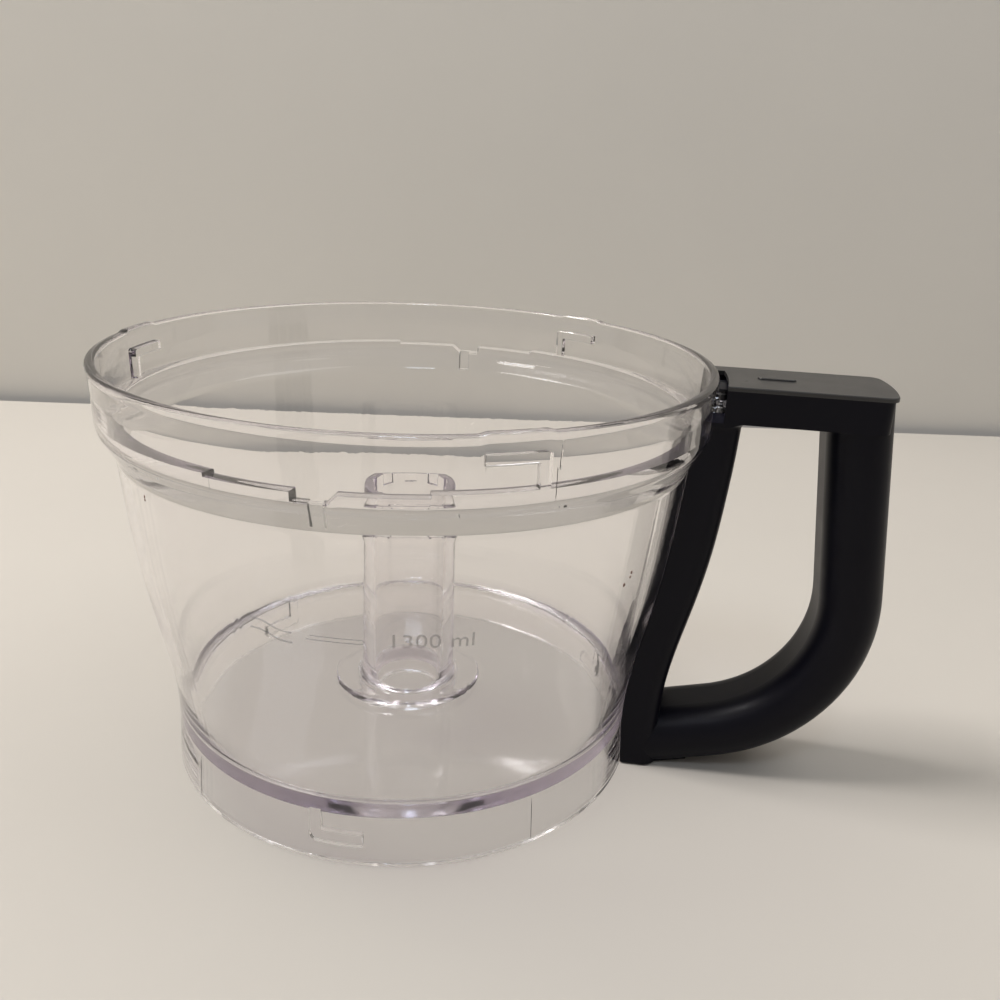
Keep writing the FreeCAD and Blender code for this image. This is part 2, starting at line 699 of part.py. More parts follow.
def flare(post):
    """Round in which a post widens into the top bar's underside."""
    plate = box(0, 2 * TOP_OUT_X, -TOP_W, TOP_W, TOP_UNDER, TOP_UNDER + 1)
    joined = plate.fuse(post)
    ring = []
    for edge in joined.Edges:
        b = edge.BoundBox
        level = abs(b.ZMin - TOP_UNDER) < 1e-3 and abs(b.ZMax - TOP_UNDER) < 1e-3
        if level and b.XMin > 1 and b.XMax < 2 * TOP_OUT_X - 1 and abs(b.YMax) < TOP_W - 1:
            ring.append(edge)
    joined = joined.makeFillet(JOIN_ROUND, ring)
    return joined.common(top_outline(0.0, TOP_UNDER - JOIN_ROUND, TOP_UNDER + FIT, ARM_X, END_STEP))


def make_handle_shell():
    half = HANDLE_W / 2
    bar = strip(-WALL, BAR_T, FOOT_Z, TOP_UNDER + 2, half, BAR_SWELL)
    edges = []
    outer_x = BODY_FOOT_R + BAR_T / 2
    for edge in bar.Edges:
        c = edge.CenterOfMass
        long_side = edge.BoundBox.ZLength > (TOP_UNDER - FOOT_Z) * 0.7
        if abs(abs(c.y) - half) < 1e-3 and long_side and c.x > outer_x:
            edges.append(edge)
    bar = bar.makeFillet(BAR_CORNER, edges)
    grip = grip_solid(0.0, -TOP_H, 0.0)
    wide = half - FOOT_STEP
    narrow = FOOT_END_W / 2
    wide_x = SKIRT_R + FOOT_WIDE
    plan = [V(SKIRT_IN_R, -wide, FOOT_Z), V(wide_x, -wide, FOOT_Z), V(FOOT_X, -narrow, FOOT_Z),
            V(FOOT_X, narrow, FOOT_Z), V(wide_x, wide, FOOT_Z), V(SKIRT_IN_R, wide, FOOT_Z)]
    foot = Part.Face(polygon(plan)).extrude(V(0, 0, 2 * FOOT_H))
    top_bar = top_outline(0.0, TOP_UNDER, TOP_Z - COVER_T, ARM_X, END_STEP)
    top_bar = top_bar.cut(stand_off(TOP_UNDER - 1, TOP_Z))
    bar_top = bar.common(box(0, TOP_OUT_X, -TOP_W, TOP_W, TOP_UNDER - 2 * JOIN_ROUND, TOP_UNDER + 2))
    rounds = [flare(bar_top)]
    bar = bar.common(box(0, TOP_OUT_X, -TOP_W, TOP_W, 0, TOP_UNDER + FIT))
    shell = grip.fuse([bar, foot, top_bar] + rounds)
    shell = shell.cut(bowl_envelope(BOWL_GAP))
    far_x = TOP_OUT_X + 60
    shell = shell.cut(box(0, far_x, -TOP_W, TOP_W, FOOT_Z - 40, FOOT_Z))
    shell = shell.cut(box(0, far_x, -TOP_W, TOP_W, TOP_Z - COVER_T, TOP_Z + 60))

    # Hollow top bar, open at the top under the cover
    room = top_outline(TOP_WALL, TOP_FLOOR, TOP_Z, TOP_IN_X + TOP_WALL)
    cuts = [room]
    # Way in for the tab, from the collar to the hollow
    x0 = COLLAR_IN_R
    tab_half = TAB_W / 2 + TAB_FIT
    cuts.append(box(x0, TOP_IN_X + TOP_WALL + 1, -tab_half, tab_half, TOP_FLOOR, TOP_Z))
    # Channel of the push rod, open towards the bowl
    rod_out = ROD_IN + ROD_T + CHANNEL_ROOM
    cuts.append(strip(-WALL - 1, rod_out, -1.0, SEAT_TOP - SEAT_T, CHANNEL_W / 2))
    room_w = SPRING_ROOM_W / 2
    notch_w = ROD_NOTCH_W / 2
    cuts.append(box(x0, ROD_X + room_w, -room_w, room_w, SEAT_TOP, TOP_FLOOR + 1))
    notch_z = ROD_BAR_TOP - ROD_R - ROD_TRAVEL - 1
    cuts.append(box(x0, ROD_X, -notch_w, notch_w, notch_z, SEAT_TOP + 1))
    cuts.append(cylinder(notch_w, notch_z, SEAT_TOP + 1, ROD_X, 0))
    # Side pockets, open towards the bowl, with ribs left between them
    pitch = (TOP_UNDER - POCKET_DROP - FOOT_TOP + RIB_T) / POCKETS
    for i in range(POCKETS):
        z1 = FOOT_TOP + i * pitch
        for side in (-1, 1):
            pocket = strip(-WALL - 1, BAR_T - BAR_SKIN, z1, z1 + pitch - RIB_T, POCKET_W / 2)
            pocket.translate(V(0, side * SCREW_Y, 0))
            cuts.append(pocket)
    # Hollow grip, open at its top into the hollow top bar
    cuts.append(grip_solid(GRIP_WALL, -2.0, HOLLOW_STOP))
    # Screw holes
    for y in (-SCREW_Y, SCREW_Y):
        top_hole = TAB_TOP - SCREW_LEN - SCREW_SINK
        cuts.append(cylinder(SCREW_R + SCREW_FIT, top_hole, TOP_FLOOR + 1, TOP_SCREW_X, y))
        cuts.append(cylinder(SCREW_R + 2 * FIT, -1, FOOT_TOP + 1, LOW_SCREW_X, y))
        cuts.append(cylinder(SCREW_HEAD_R + 2 * FIT, -1, LOW_SCREW_Z, LOW_SCREW_X, y))
    shell = shell.cut(cuts)
    return shell.removeSplitter()


def make_handle_cover():
    z1 = TOP_Z - COVER_T
    x1 = ARM_X
    cover = top_outline(0.0, z1, TOP_Z, x1)
    upper = [e for e in cover.Edges if e.BoundBox.ZMin > TOP_Z - FIT and e.BoundBox.XMax > x1 + 1]
    cover = cover.makeFillet(COVER_ROUND, upper)
    cover = cover.cut(stand_off(z1 - 1, TOP_Z + 1))
    cover = cover.cut(bowl_envelope(BOWL_GAP + FIT))
    rim_x = TOP_IN_X + TOP_WALL + COVER_RIM_BACK
    inset = TOP_WALL + FIT
    rim = top_outline(inset, z1 - COVER_RIM_H, z1 + FIT, rim_x)
    inset += COVER_RIM_T
    rim = rim.cut(top_outline(inset, z1 - COVER_RIM_H - 1, z1 + 1, rim_x + COVER_RIM_T))
    cover = cover.fuse(rim)
    r = OBLONG_W / 2
    half = OBLONG_L / 2 - r
    low = TOP_Z - FIT
    high = TOP_Z + OBLONG_H
    mark = box(OBLONG_X - half, OBLONG_X + half, -r, r, low, high)
    mark = mark.fuse([cylinder(r, low, high, OBLONG_X - half, 0),
                      cylinder(r, low, high, OBLONG_X + half, 0)]).removeSplitter()
    mark = mark.makeFillet(OBLONG_H * 0.8, [e for e in mark.Edges if e.BoundBox.ZMin > high - FIT / 2])
    return cover.fuse(mark).removeSplitter()


def make_push_rod():
    bar = strip(ROD_IN, ROD_IN + ROD_T, ROD_FOOT_Z + ROD_FOOT_H, ROD_BAR_TOP, ROD_W / 2)
    foot = strip(ROD_IN, ROD_IN + ROD_T, ROD_FOOT_Z, ROD_FOOT_Z + ROD_FOOT_H + 1, ROD_W / 4)
    pin = cylinder(ROD_R, ROD_BAR_TOP - ROD_R, HEAD_UNDER + ROOT / 2, ROD_X, 0)
    head = box(HEAD_X1, HEAD_X2, -HEAD_W / 2, HEAD_W / 2, HEAD_UNDER, HEAD_TOP)
    # Ramp on the side that the lid comes from
    near_y = -HEAD_W / 2
    slope = [V(HEAD_X1 - 1, near_y - 1, HEAD_TOP + 1), V(HEAD_X1 - 1, near_y - 1, HEAD_TOP - HEAD_RAMP),
             V(HEAD_X1 - 1, near_y, HEAD_TOP - HEAD_RAMP), V(HEAD_X1 - 1, 0, HEAD_TOP),
             V(HEAD_X1 - 1, 0, HEAD_TOP + 1)]
    wedge = Part.Face(polygon(slope)).extrude(V(HEAD_X2 - HEAD_X1 + 2, 0, 0))
    head = head.cut(wedge)
    return bar.fuse([foot, pin, head]).removeSplitter()


def make_spring():
    height = HEAD_UNDER - SEAT_TOP - 2 * WIRE_R - STOP_GAP
    pitch = height / SPRING_TURNS
    helix = Part.makeHelix(pitch, height, SPRING_R)
    ring = Part.Circle(V(SPRING_R, 0, 0), V(0, 1, 0), WIRE_R).toShape()
    coil = Part.Wire(helix).makePipeShell([Part.Wire(ring)], True, True)
    coil.translate(V(ROD_X, 0, SEAT_TOP + WIRE_R + STOP_GAP / 2))
    return coil


def make_screw(x, y, head_z, upwards):
    """Pan head screw; its head sits on head_z and the shank goes the other way."""
    d = 1.0 if upwards else -1.0
    axis = V(0, 0, -d)
    head = Part.makeCylinder(SCREW_HEAD_R, SCREW_HEAD_H, V(x, y, head_z), axis)
    far_edges = [e for e in head.Edges if abs(e.CenterOfMass.z - (head_z - d * SCREW_HEAD_H)) < 0.01
                 and len(e.Vertexes) == 1]
    head = head.makeFillet(SCREW_ROUND, far_edges)
    shank = Part.makeCylinder(SCREW_R, SCREW_LEN, V(x, y, head_z), V(0, 0, d))
    slot_z = head_z - d * SCREW_HEAD_H
    cross = []
    for turn in (0, 90):
        bar = Part.makeBox(CROSS_L, CROSS_W, 2 * CROSS_H, V(-CROSS_L / 2, -CROSS_W / 2, -CROSS_H))
        bar.rotate(V(0, 0, 0), V(0, 0, 1), turn)
        bar.translate(V(x, y, slot_z))
        cross.append(bar)
    return head.fuse(shank).cut(cross).removeSplitter()


parts = {
    "bowl": make_bowl(),
    "handle_shell": make_handle_shell(),
    "handle_cover": make_handle_cover(),
    "push_rod": make_push_rod(),
    "rod_spring": make_spring(),
    "screw_top_near": make_screw(TOP_SCREW_X, -SCREW_Y, TAB_TOP, False),
    "screw_top_far": make_screw(TOP_SCREW_X, SCREW_Y, TAB_TOP, False),
    "screw_foot_near": make_screw(LOW_SCREW_X, -SCREW_Y, LOW_SCREW_Z, True),
    "screw_foot_far": make_screw(LOW_SCREW_X, SCREW_Y, LOW_SCREW_Z, True),
}

for name, shape in parts.items():
    shape.exportStep("parts/" + name + ".step")
    print(name, shape.isValid(), len(shape.Solids), round(shape.Volume / 1000, 2))
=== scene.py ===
import math

import bmesh
import bpy
import numpy as np
from mathutils import Matrix, Vector


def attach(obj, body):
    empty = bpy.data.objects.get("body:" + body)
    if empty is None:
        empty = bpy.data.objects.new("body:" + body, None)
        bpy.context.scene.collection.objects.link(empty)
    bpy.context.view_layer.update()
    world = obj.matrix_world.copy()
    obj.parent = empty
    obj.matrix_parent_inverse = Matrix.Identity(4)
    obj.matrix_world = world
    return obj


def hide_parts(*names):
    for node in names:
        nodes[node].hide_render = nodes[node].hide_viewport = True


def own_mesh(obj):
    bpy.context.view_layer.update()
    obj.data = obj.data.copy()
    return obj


# Looks of a clear food processor bowl with a black side handle.
# Lengths below are in millimetres in the bowl's own frame, and meshes are made in metres.

MM = 0.001
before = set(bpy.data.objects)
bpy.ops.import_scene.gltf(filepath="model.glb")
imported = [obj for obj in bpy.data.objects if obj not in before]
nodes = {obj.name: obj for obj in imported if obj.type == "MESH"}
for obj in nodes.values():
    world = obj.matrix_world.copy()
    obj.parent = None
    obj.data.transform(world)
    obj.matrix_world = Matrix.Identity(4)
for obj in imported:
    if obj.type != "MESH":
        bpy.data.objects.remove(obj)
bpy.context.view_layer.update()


# Camera: where the photograph was taken from

def make_camera():
    data = bpy.data.cameras.new("camera")
    data.sensor_width = 36.0
    data.sensor_height = 36.0
    data.sensor_fit = "HORIZONTAL"
    data.lens = 34.01
    data.clip_start = 0.01
    data.clip_end = 20.0
    camera = bpy.data.objects.new("camera", data)
    bpy.context.scene.collection.objects.link(camera)
    right = Vector((0.9894, 0.1380, 0.0444)).normalized()
    ahead = Vector((-0.1142, 0.9303, -0.3486)).normalized()
    up = right.cross(ahead).normalized()
    right = ahead.cross(up).normalized()
    turn = Matrix((right, up, -ahead)).transposed().to_4x4()
    camera.matrix_world = Matrix.Translation(Vector((68.9, -303.3, 204.0)) * MM) @ turn
    bpy.context.scene.camera = camera


# Profile of the bowl in radius and height, and the features that change it with the angle

RIM_R, TOTAL_H, WALL = 100.0, 140.5, 2.7
COLLAR_R, COLLAR_IN_R, RIM_IN_R = 99.1, 96.4, 96.8
RIM_EDGE_Z = TOTAL_H - 0.8
RIM_ROUND = [(0.1, 0.45), (0.3, 0.2), (0.8, 0.0)]
LEDGE_IN_R, LEDGE_MID_R, LEDGE_Z = 92.3, 94.6, 125.0
SHOULDER_R, SHOULDER_Z, NECK_R, NECK_Z, FLARE_Z = 97.4, 119.3, 94.0, 112.5, 132.0
SHOULDER_BEND = [(98.13, 0.9), (98.65, 2.0), (98.98, 3.3)]
SKIRT_R, SKIRT_IN_R, SKIRT_DRAFT, SKIRT_IN_DRAFT = 82.2, 79.0, 0.9, 0.4
FLOOR_UNDER, FLOOR_TOP = 16.1, 19.9
FLOOR_FLAT_R, FLOOR_CORNER_R, FLOOR_CORNER_Z = 74.65, 4.0, 23.9
BODY = [(81.3, 16.1), (81.7, 27.0), (84.1, 43.5), (88.2, 64.4), (91.3, 84.6), (93.3, 104.0),
        (94.0, 112.5)]
INNER_FOOT, INNER_TOP = (78.65, 23.9), (92.3, 124.5)
TUBE_TOP, TUBE_R, TUBE_FOOT_R, TUBE_FOOT_Z, TUBE_FILLET, BORE_R = 92.4, 15.9, 16.7, 24.0, 2.5, 12.5
HUB_R, HUB_Z, PEDESTAL_R, PEDESTAL_MID_R, PEDESTAL_TOP = 17.5, 11.1, 26.5, 22.5, 21.5
PEDESTAL_EDGE = [(0.12, 20.5), (0.6, 21.12), (1.5, PEDESTAL_TOP)]
SPLINES, SPLINE_FIRST, SPLINE_DEPTH, SPLINE_H = 9, -67.5, 0.9, 4.2

# Lid lugs, with the pads on the rim over them, and the base lugs. Arcs are in degrees.
LUG_ENDS = [63.8 + 120.0 * i for i in range(3)]
LUG_ARC, LUG_LEG_ARC, LUG_IN, LUG_TOP, LUG_UNDER = 10.3, 1.7, 2.3, 134.9, 132.0
LUG_FACE_R, LUG_ROUND, LUG_EDGE = 94.0, 1.0, 0.15
PAD_H, PAD_RAMP = 0.6, 1.3
BASE_LUGS = [-98.7 + 120.0 * i for i in range(3)]
BASE_ARC, BASE_LEG_ARC, BASE_IN, BASE_UNDER, BASE_TOP = 12.1, 2.7, 2.0, 4.9, 9.2
BASE_FACE_R, BASE_ROUND = 78.0, 3.0

# Lower stretches of the ledge, with the key slots and their channels
LOW_START, LOW_END, LOW_DEPTH = -109.2, -74.2, 1.0
SLOT_START, SLOT_END, SLOT_RAMP_END, SLOT_Z = -94.7, -89.6, -88.0, 121.7
CHANNEL_START, CHANNEL_END, CHANNEL_R, CHANNEL_Z, CHANNEL_TOP = -92.4, -90.0, 93.6, 114.3, 121.0

# Raised parting lines: their angles, half widths in degrees and height
COLLAR_LINE, COLLAR_JOG, SKIRT_LINES = -55.7, 0.35, (-131.7, -48.8)
COLLAR_LINE_HALF, SKIRT_LINE_HALF, LINE_EDGE, LINE_H = 0.1, 0.12, 0.11, 0.2

# Mesh of the bowl: rows up its section and columns round it. A step between two forms is one
# thin column, and EASE keeps the faces beside a lug from lying flat on each other.
SKIRT_ROWS, BODY_ROWS, SHOULDER_ROWS, CHANNEL_ROWS, WALL_ROWS = 6, 64, 4, 7, 57
CORNER_ROWS, FILLET_ROWS = 8, 6
COLUMNS, COLUMN_GAP, STEP_ARC, EASE, BOWL_SMOOTH = 288, 0.2, 0.05, 0.04, 28.0

# Tab and bosses that carry the handle
TAB_IN, TAB_OUT, TAB_HALF, TAB_Z1, TAB_Z2, TAB_BEVEL = 97.8, 108.0, 11.5, 129.9, 131.7, 0.25
TAB_SLOT_IN, TAB_SLOT_OUT, TAB_SLOT_HALF, TAB_HOLE_X, TAB_HOLE_R = 99.9, 106.0, 3.2, 104.2, 1.5
SCREW_Y, BOSS_X, BOSS_R, BOSS_Z1, BOSS_Z2 = 9.06, 87.403, 3.3, 4.4, 16.0
BOSS_HOLE_R, BOSS_HOLE_Z, WEB_IN, WEB_HALF, WEB_DROP = 1.42, 12.8, 1.6, 1.0, 0.01

# Level marks: two waves, a long pointer as angles and rises, and a plain amount
MARK_Z, MARK_W, BAR_W = 80.98, 0.55, 0.33
WAVE_START, WAVE_ARC, WAVE_TOP, WAVE_GAP, WAVE_FALL = -104.9, 7.8, 3.0, 3.2, 2.5
POINTER = [(-94.5, -0.65), (-84.8, -0.65), (-84.5, 0.0), (-84.8, 0.65), (-94.5, 0.65)]
AMOUNT, AMOUNT_H, AMOUNT_T, AMOUNT_SPACE = "1300 ml", 6.2, 0.1, 1.05
AMOUNT_START, AMOUNT_ARC, AMOUNT_Z, AMOUNT_LIFT = -80.7, 14.6, 79.6, 0.02

# Specks of dried food: angle, height and half width
SPECKS = [(-32.9, 90.4, 0.45), (-33.05, 88.95, 0.35), (-34.6, 87.1, 0.5), (-128.5, 109.4, 0.4),
          (-128.55, 108.4, 0.35)]
SPECK_T, SPECK_TALL = 0.12, 1.3

# Spring of the push rod
COIL_X, COIL_R, WIRE_R, COIL_TURNS, COIL_Z1, COIL_Z2 = 102.6, 2.05, 0.25, 5, 122.25, 134.75


def natural_spline(points):
    """Smooth curve of radius over height through points, as a function."""
    z = np.array([p[1] for p in points], float)
    r = np.array([p[0] for p in points], float)
    order = np.argsort(z)
    z, r = z[order], r[order]
    n = len(z)
    h = np.diff(z)
    a = np.zeros((n, n))
    b = np.zeros(n)
    a[0, 0] = a[-1, -1] = 1.0
    for i in range(1, n - 1):
        a[i, i - 1], a[i, i], a[i, i + 1] = h[i - 1], 2 * (h[i - 1] + h[i]), h[i]
        b[i] = 6 * ((r[i + 1] - r[i]) / h[i] - (r[i] - r[i - 1]) / h[i - 1])
    m = np.linalg.solve(a, b)

    def at(q):
        i = int(np.clip(np.searchsorted(z, q) - 1, 0, n - 2))
        t0, t1 = z[i + 1] - q, q - z[i]
        return float(m[i] * t0 ** 3 / (6 * h[i]) + m[i + 1] * t1 ** 3 / (6 * h[i])
                     + (r[i] / h[i] - m[i] * h[i] / 6) * t0
                     + (r[i + 1] / h[i] - m[i + 1] * h[i] / 6) * t1)

    return at


outer_r = natural_spline(BODY)
inner_r = natural_spline([INNER_FOOT] + [(r - WALL, z) for r, z in BODY[2:]] + [INNER_TOP])


def turn_from(angle, start):
    """Degrees from start round to angle, from 0 to 360."""
    return (angle - start) % 360.0


def inside(angle, start, end):
    """Whether an angle lies on the way round from start to end."""
    return turn_from(angle, start) < turn_from(end, start)


def round_rise(x, radius):
    """Height lost at distance x from the end of a corner of that radius."""
    if x >= radius:
        return 0.0
    return radius - math.sqrt(max(radius ** 2 - (radius - x) ** 2, 0.0))


def line_lift(angle, line, half):
    """Height of a raised parting line where the angle is on it."""
    return LINE_H if abs((angle - line + 180) % 360 - 180) < half else 0.0


def ledge_at(angle):
    """Height of the ledge at an angle, and whether a key slot's channel is there."""
    low = inside(angle, LOW_START, LOW_END) or inside(angle, LOW_START + 180, LOW_END + 180)
    ledge = LEDGE_Z - (LOW_DEPTH if low else 0.0)
    channel = False
    for half in (0, 180):
        if inside(angle, SLOT_START + half, SLOT_END + half):
            ledge = SLOT_Z
        elif inside(angle, SLOT_END + half, SLOT_RAMP_END + half):
            share = turn_from(angle, SLOT_END + half) / (SLOT_RAMP_END - SLOT_END)
            ledge = SLOT_Z + (LEDGE_Z - LOW_DEPTH - SLOT_Z) * share
        channel = channel or inside(angle, CHANNEL_START + half, CHANNEL_END + half)
    return ledge, channel


def lid_lug_at(angle):
    """Whether a lid lug's arm and leg are at an angle, what its round takes off, and the rim's pad."""
    arm = leg = False
    pad = cut = 0.0
    for end in LUG_ENDS:
        start = end - LUG_ARC
        if inside(angle, start, end):
            arm = True
            back = (LUG_ARC - turn_from(angle, start)) * math.pi / 180 * LUG_FACE_R
            cut = round_rise(back, LUG_ROUND)
            leg = inside(angle, end - LUG_LEG_ARC, end)
        if inside(angle, start - PAD_RAMP, end):
            along = turn_from(angle, start - PAD_RAMP)
            span = LUG_ARC + PAD_RAMP
            pad = PAD_H * min(1.0, along / PAD_RAMP, (span - along) / PAD_RAMP)
    return arm, leg, cut, pad


def base_lug_at(angle):
    """Whether a base lug's arm and leg are at an angle, and what its round takes off."""
    arm = leg = False
    cut = 0.0
    for start in BASE_LUGS:
        if inside(angle, start, start + BASE_ARC):
            arm = True
            cut = round_rise(turn_from(angle, start) * math.pi / 180 * BASE_FACE_R, BASE_ROUND)
            leg = inside(angle, start, start + BASE_LEG_ARC)
    return arm, leg, cut


def outside_run(angle, pad):
    """Points up the outside, from the foot ring over the rim."""
    upper_line = line_lift(angle, COLLAR_LINE + COLLAR_JOG, COLLAR_LINE_HALF)
    lower_line = line_lift(angle, COLLAR_LINE, COLLAR_LINE_HALF)
    skirt_line = max(line_lift(angle, line, SKIRT_LINE_HALF) for line in SKIRT_LINES)
    p = [(SKIRT_R - 0.25, 0.0), (SKIRT_R, 0.25)]
    for i in range(1, SKIRT_ROWS):
        z = FLOOR_UNDER * i / SKIRT_ROWS
        p.append((SKIRT_R - SKIRT_DRAFT * z / FLOOR_UNDER + skirt_line, z))
    for i in range(BODY_ROWS):
        z = FLOOR_UNDER + (NECK_Z - FLOOR_UNDER) * i / (BODY_ROWS - 1)
        p.append((outer_r(z), z))
    for i in range(1, SHOULDER_ROWS + 1):
        p.append((NECK_R + (SHOULDER_R - NECK_R) * i / SHOULDER_ROWS,
                  NECK_Z + (SHOULDER_Z - NECK_Z) * i / SHOULDER_ROWS))
    p += [(r, SHOULDER_Z + rise) for r, rise in SHOULDER_BEND]
    p += [(COLLAR_R + lower_line, z) for z in (SHOULDER_Z + 4.6, 126.0, 128.0, 130.6)]
    p += [(COLLAR_R + upper_line, z) for z in (131.0, FLARE_Z)]
    for share in (0.25, 0.5, 0.75, 1.0):
        z = FLARE_Z + (RIM_EDGE_Z - FLARE_Z) * share
        p.append((COLLAR_R + (RIM_R - COLLAR_R) * share + upper_line * (1 - share), z + pad * share))
    top = TOTAL_H + pad
    p += [(RIM_R - inward, top - drop) for inward, drop in RIM_ROUND]
    p += [(RIM_IN_R + outward, top - drop) for outward, drop in reversed(RIM_ROUND)]
    p.append((RIM_IN_R, RIM_EDGE_Z))
    return p


def collar_in(z):
    """Radius of the collar's inside at a height."""
    return COLLAR_IN_R + (RIM_IN_R - COLLAR_IN_R) * (z - LEDGE_Z) / (RIM_EDGE_Z - LEDGE_Z)


def collar_run(angle, arm, leg, cut):
    """Points down the inside of the collar, round a lug, and over the ledge to its lip."""
    ledge, channel = ledge_at(angle)
    p = [(collar_in(z), z) for z in (138.0, 136.4)]
    lug_r = COLLAR_IN_R - LUG_IN
    lug_top = LUG_TOP - cut
    if arm:
        p += [(collar_in(LUG_TOP), lug_top + EASE), (lug_r + LUG_EDGE, lug_top),
              (lug_r, lug_top - LUG_EDGE)]
    else:
        p += [(collar_in(LUG_TOP), LUG_TOP + EASE), (collar_in(134.6), 134.6), (collar_in(134.2), 134.2)]
    if leg:
        p += [(lug_r, z) for z in (131.0, 129.0, 127.0, ledge + 0.9, ledge + 0.6, ledge + 0.3, ledge)]
    else:
        if arm:
            p += [(lug_r, LUG_UNDER + 0.1), (lug_r + 0.1, LUG_UNDER),
                  (collar_in(LUG_UNDER), LUG_UNDER - EASE)]
        else:
            p += [(collar_in(z), z) for z in (133.0, 132.0, 130.4)]
        p += [(collar_in(z), z) for z in (128.5, 126.0)]
        p += [(COLLAR_IN_R, ledge), (LEDGE_MID_R, ledge)]
    lip_r = CHANNEL_R if channel else LEDGE_IN_R
    lip_flat, lip_edge = (0.2, 0.06) if channel else (0.5, 0.15)
    p += [(lip_r + lip_flat, ledge), (lip_r + lip_edge, ledge - 0.15), (lip_r, ledge - 0.5)]
    for i in range(CHANNEL_ROWS + 1):
        z = CHANNEL_TOP + (CHANNEL_Z + 0.05 - CHANNEL_TOP) * i / CHANNEL_ROWS
        p.append((CHANNEL_R if channel else inner_r(z), z))
    p.append((inner_r(CHANNEL_Z), CHANNEL_Z))
    return p


def inside_run(angle):
    """Points down the inside of the wall, in over the floor, up the centre tube and down its bore."""
    p = []
    for i in range(1, WALL_ROWS + 1):
        z = CHANNEL_Z + (FLOOR_CORNER_Z - CHANNEL_Z) * i / WALL_ROWS
        p.append((inner_r(z), z))
    for i in range(1, CORNER_ROWS + 1):
        t = math.pi / 2 * i / CORNER_ROWS
        p.append((FLOOR_FLAT_R + FLOOR_CORNER_R * math.cos(t),
                  FLOOR_CORNER_Z - FLOOR_CORNER_R * math.sin(t)))
    for share in (0.2, 0.4, 0.6, 0.8, 1.0):
        p.append((FLOOR_FLAT_R + (PEDESTAL_R - FLOOR_FLAT_R) * share, FLOOR_TOP))
    p += [(PEDESTAL_R - inward, z) for inward, z in PEDESTAL_EDGE]
    p += [(PEDESTAL_MID_R, PEDESTAL_TOP), (TUBE_FOOT_R + TUBE_FILLET, PEDESTAL_TOP)]
    for i in range(1, FILLET_ROWS + 1):
        t = math.pi / 2 * i / FILLET_ROWS
        p.append((TUBE_FOOT_R + TUBE_FILLET - TUBE_FILLET * math.sin(t),
                  PEDESTAL_TOP + TUBE_FILLET - TUBE_FILLET * math.cos(t)))
    for share in (0.15, 0.3, 0.45, 0.6, 0.75, 0.9, 1.0):
        z = TUBE_FOOT_Z + (TUBE_TOP - 0.6 - TUBE_FOOT_Z) * share
        p.append((TUBE_FOOT_R + (TUBE_R - TUBE_FOOT_R) * share, z))
    pitch = 360.0 / SPLINES
    spline = SPLINE_DEPTH if (angle - SPLINE_FIRST) % pitch < pitch / 2 else 0.0
    bore_top = TUBE_TOP - SPLINE_H - 0.05
    p += [(TUBE_R - 0.2, TUBE_TOP - 0.18), (TUBE_R - 0.6, TUBE_TOP),
          (BORE_R + spline + 0.2, TUBE_TOP), (BORE_R + spline, TUBE_TOP - 0.2),
          (BORE_R + spline, TUBE_TOP - SPLINE_H), (BORE_R, bore_top)]
    p += [(BORE_R, bore_top + (HUB_Z - bore_top) * share) for share in (0.2, 0.4, 0.6, 0.8, 1.0)]
    return p


def skirt_in(z):
    """Radius of the skirt's inside at a height."""
    return SKIRT_IN_R - SKIRT_IN_DRAFT * z / FLOOR_UNDER


def under_run(angle):
    """Points out under the floor and down the inside of the skirt, round a base lug."""
    arm, leg, cut = base_lug_at(angle)
    base_r = SKIRT_IN_R - BASE_IN
    p = [(HUB_R - 0.2, HUB_Z), (HUB_R, HUB_Z + 0.2), (HUB_R, FLOOR_UNDER)]
    p += [(r, FLOOR_UNDER) for r in (30.0, 45.0, 60.0, 74.0)]
    p.append((base_r - 0.1, FLOOR_UNDER))
    if leg:
        p += [(base_r, z) for z in (16.0, 12.0, 9.3, 9.1)]
    else:
        p += [(skirt_in(FLOOR_UNDER), FLOOR_UNDER), (skirt_in(12.0), 12.0)]
        if arm:
            p += [(skirt_in(BASE_TOP), BASE_TOP + EASE), (base_r, BASE_TOP)]
        else:
            p += [(skirt_in(z), z) for z in (9.3, 9.1)]
    if arm:
        z = BASE_UNDER + cut
        p += [(base_r, (BASE_TOP + z) / 2), (base_r, z), (skirt_in(z), z - EASE)]
    else:
        p += [(skirt_in(z), z) for z in (7.0, 4.9, 4.8)]
    p += [(SKIRT_IN_R, 0.3), (SKIRT_IN_R + 0.3, 0.0)]
    return p


def profile(angle):
    """Closed run of radius and height round the bowl's section at an angle."""
    arm, leg, cut, pad = lid_lug_at(angle)
    return outside_run(angle, pad) + collar_run(angle, arm, leg, cut) + inside_run(angle) + under_run(angle)


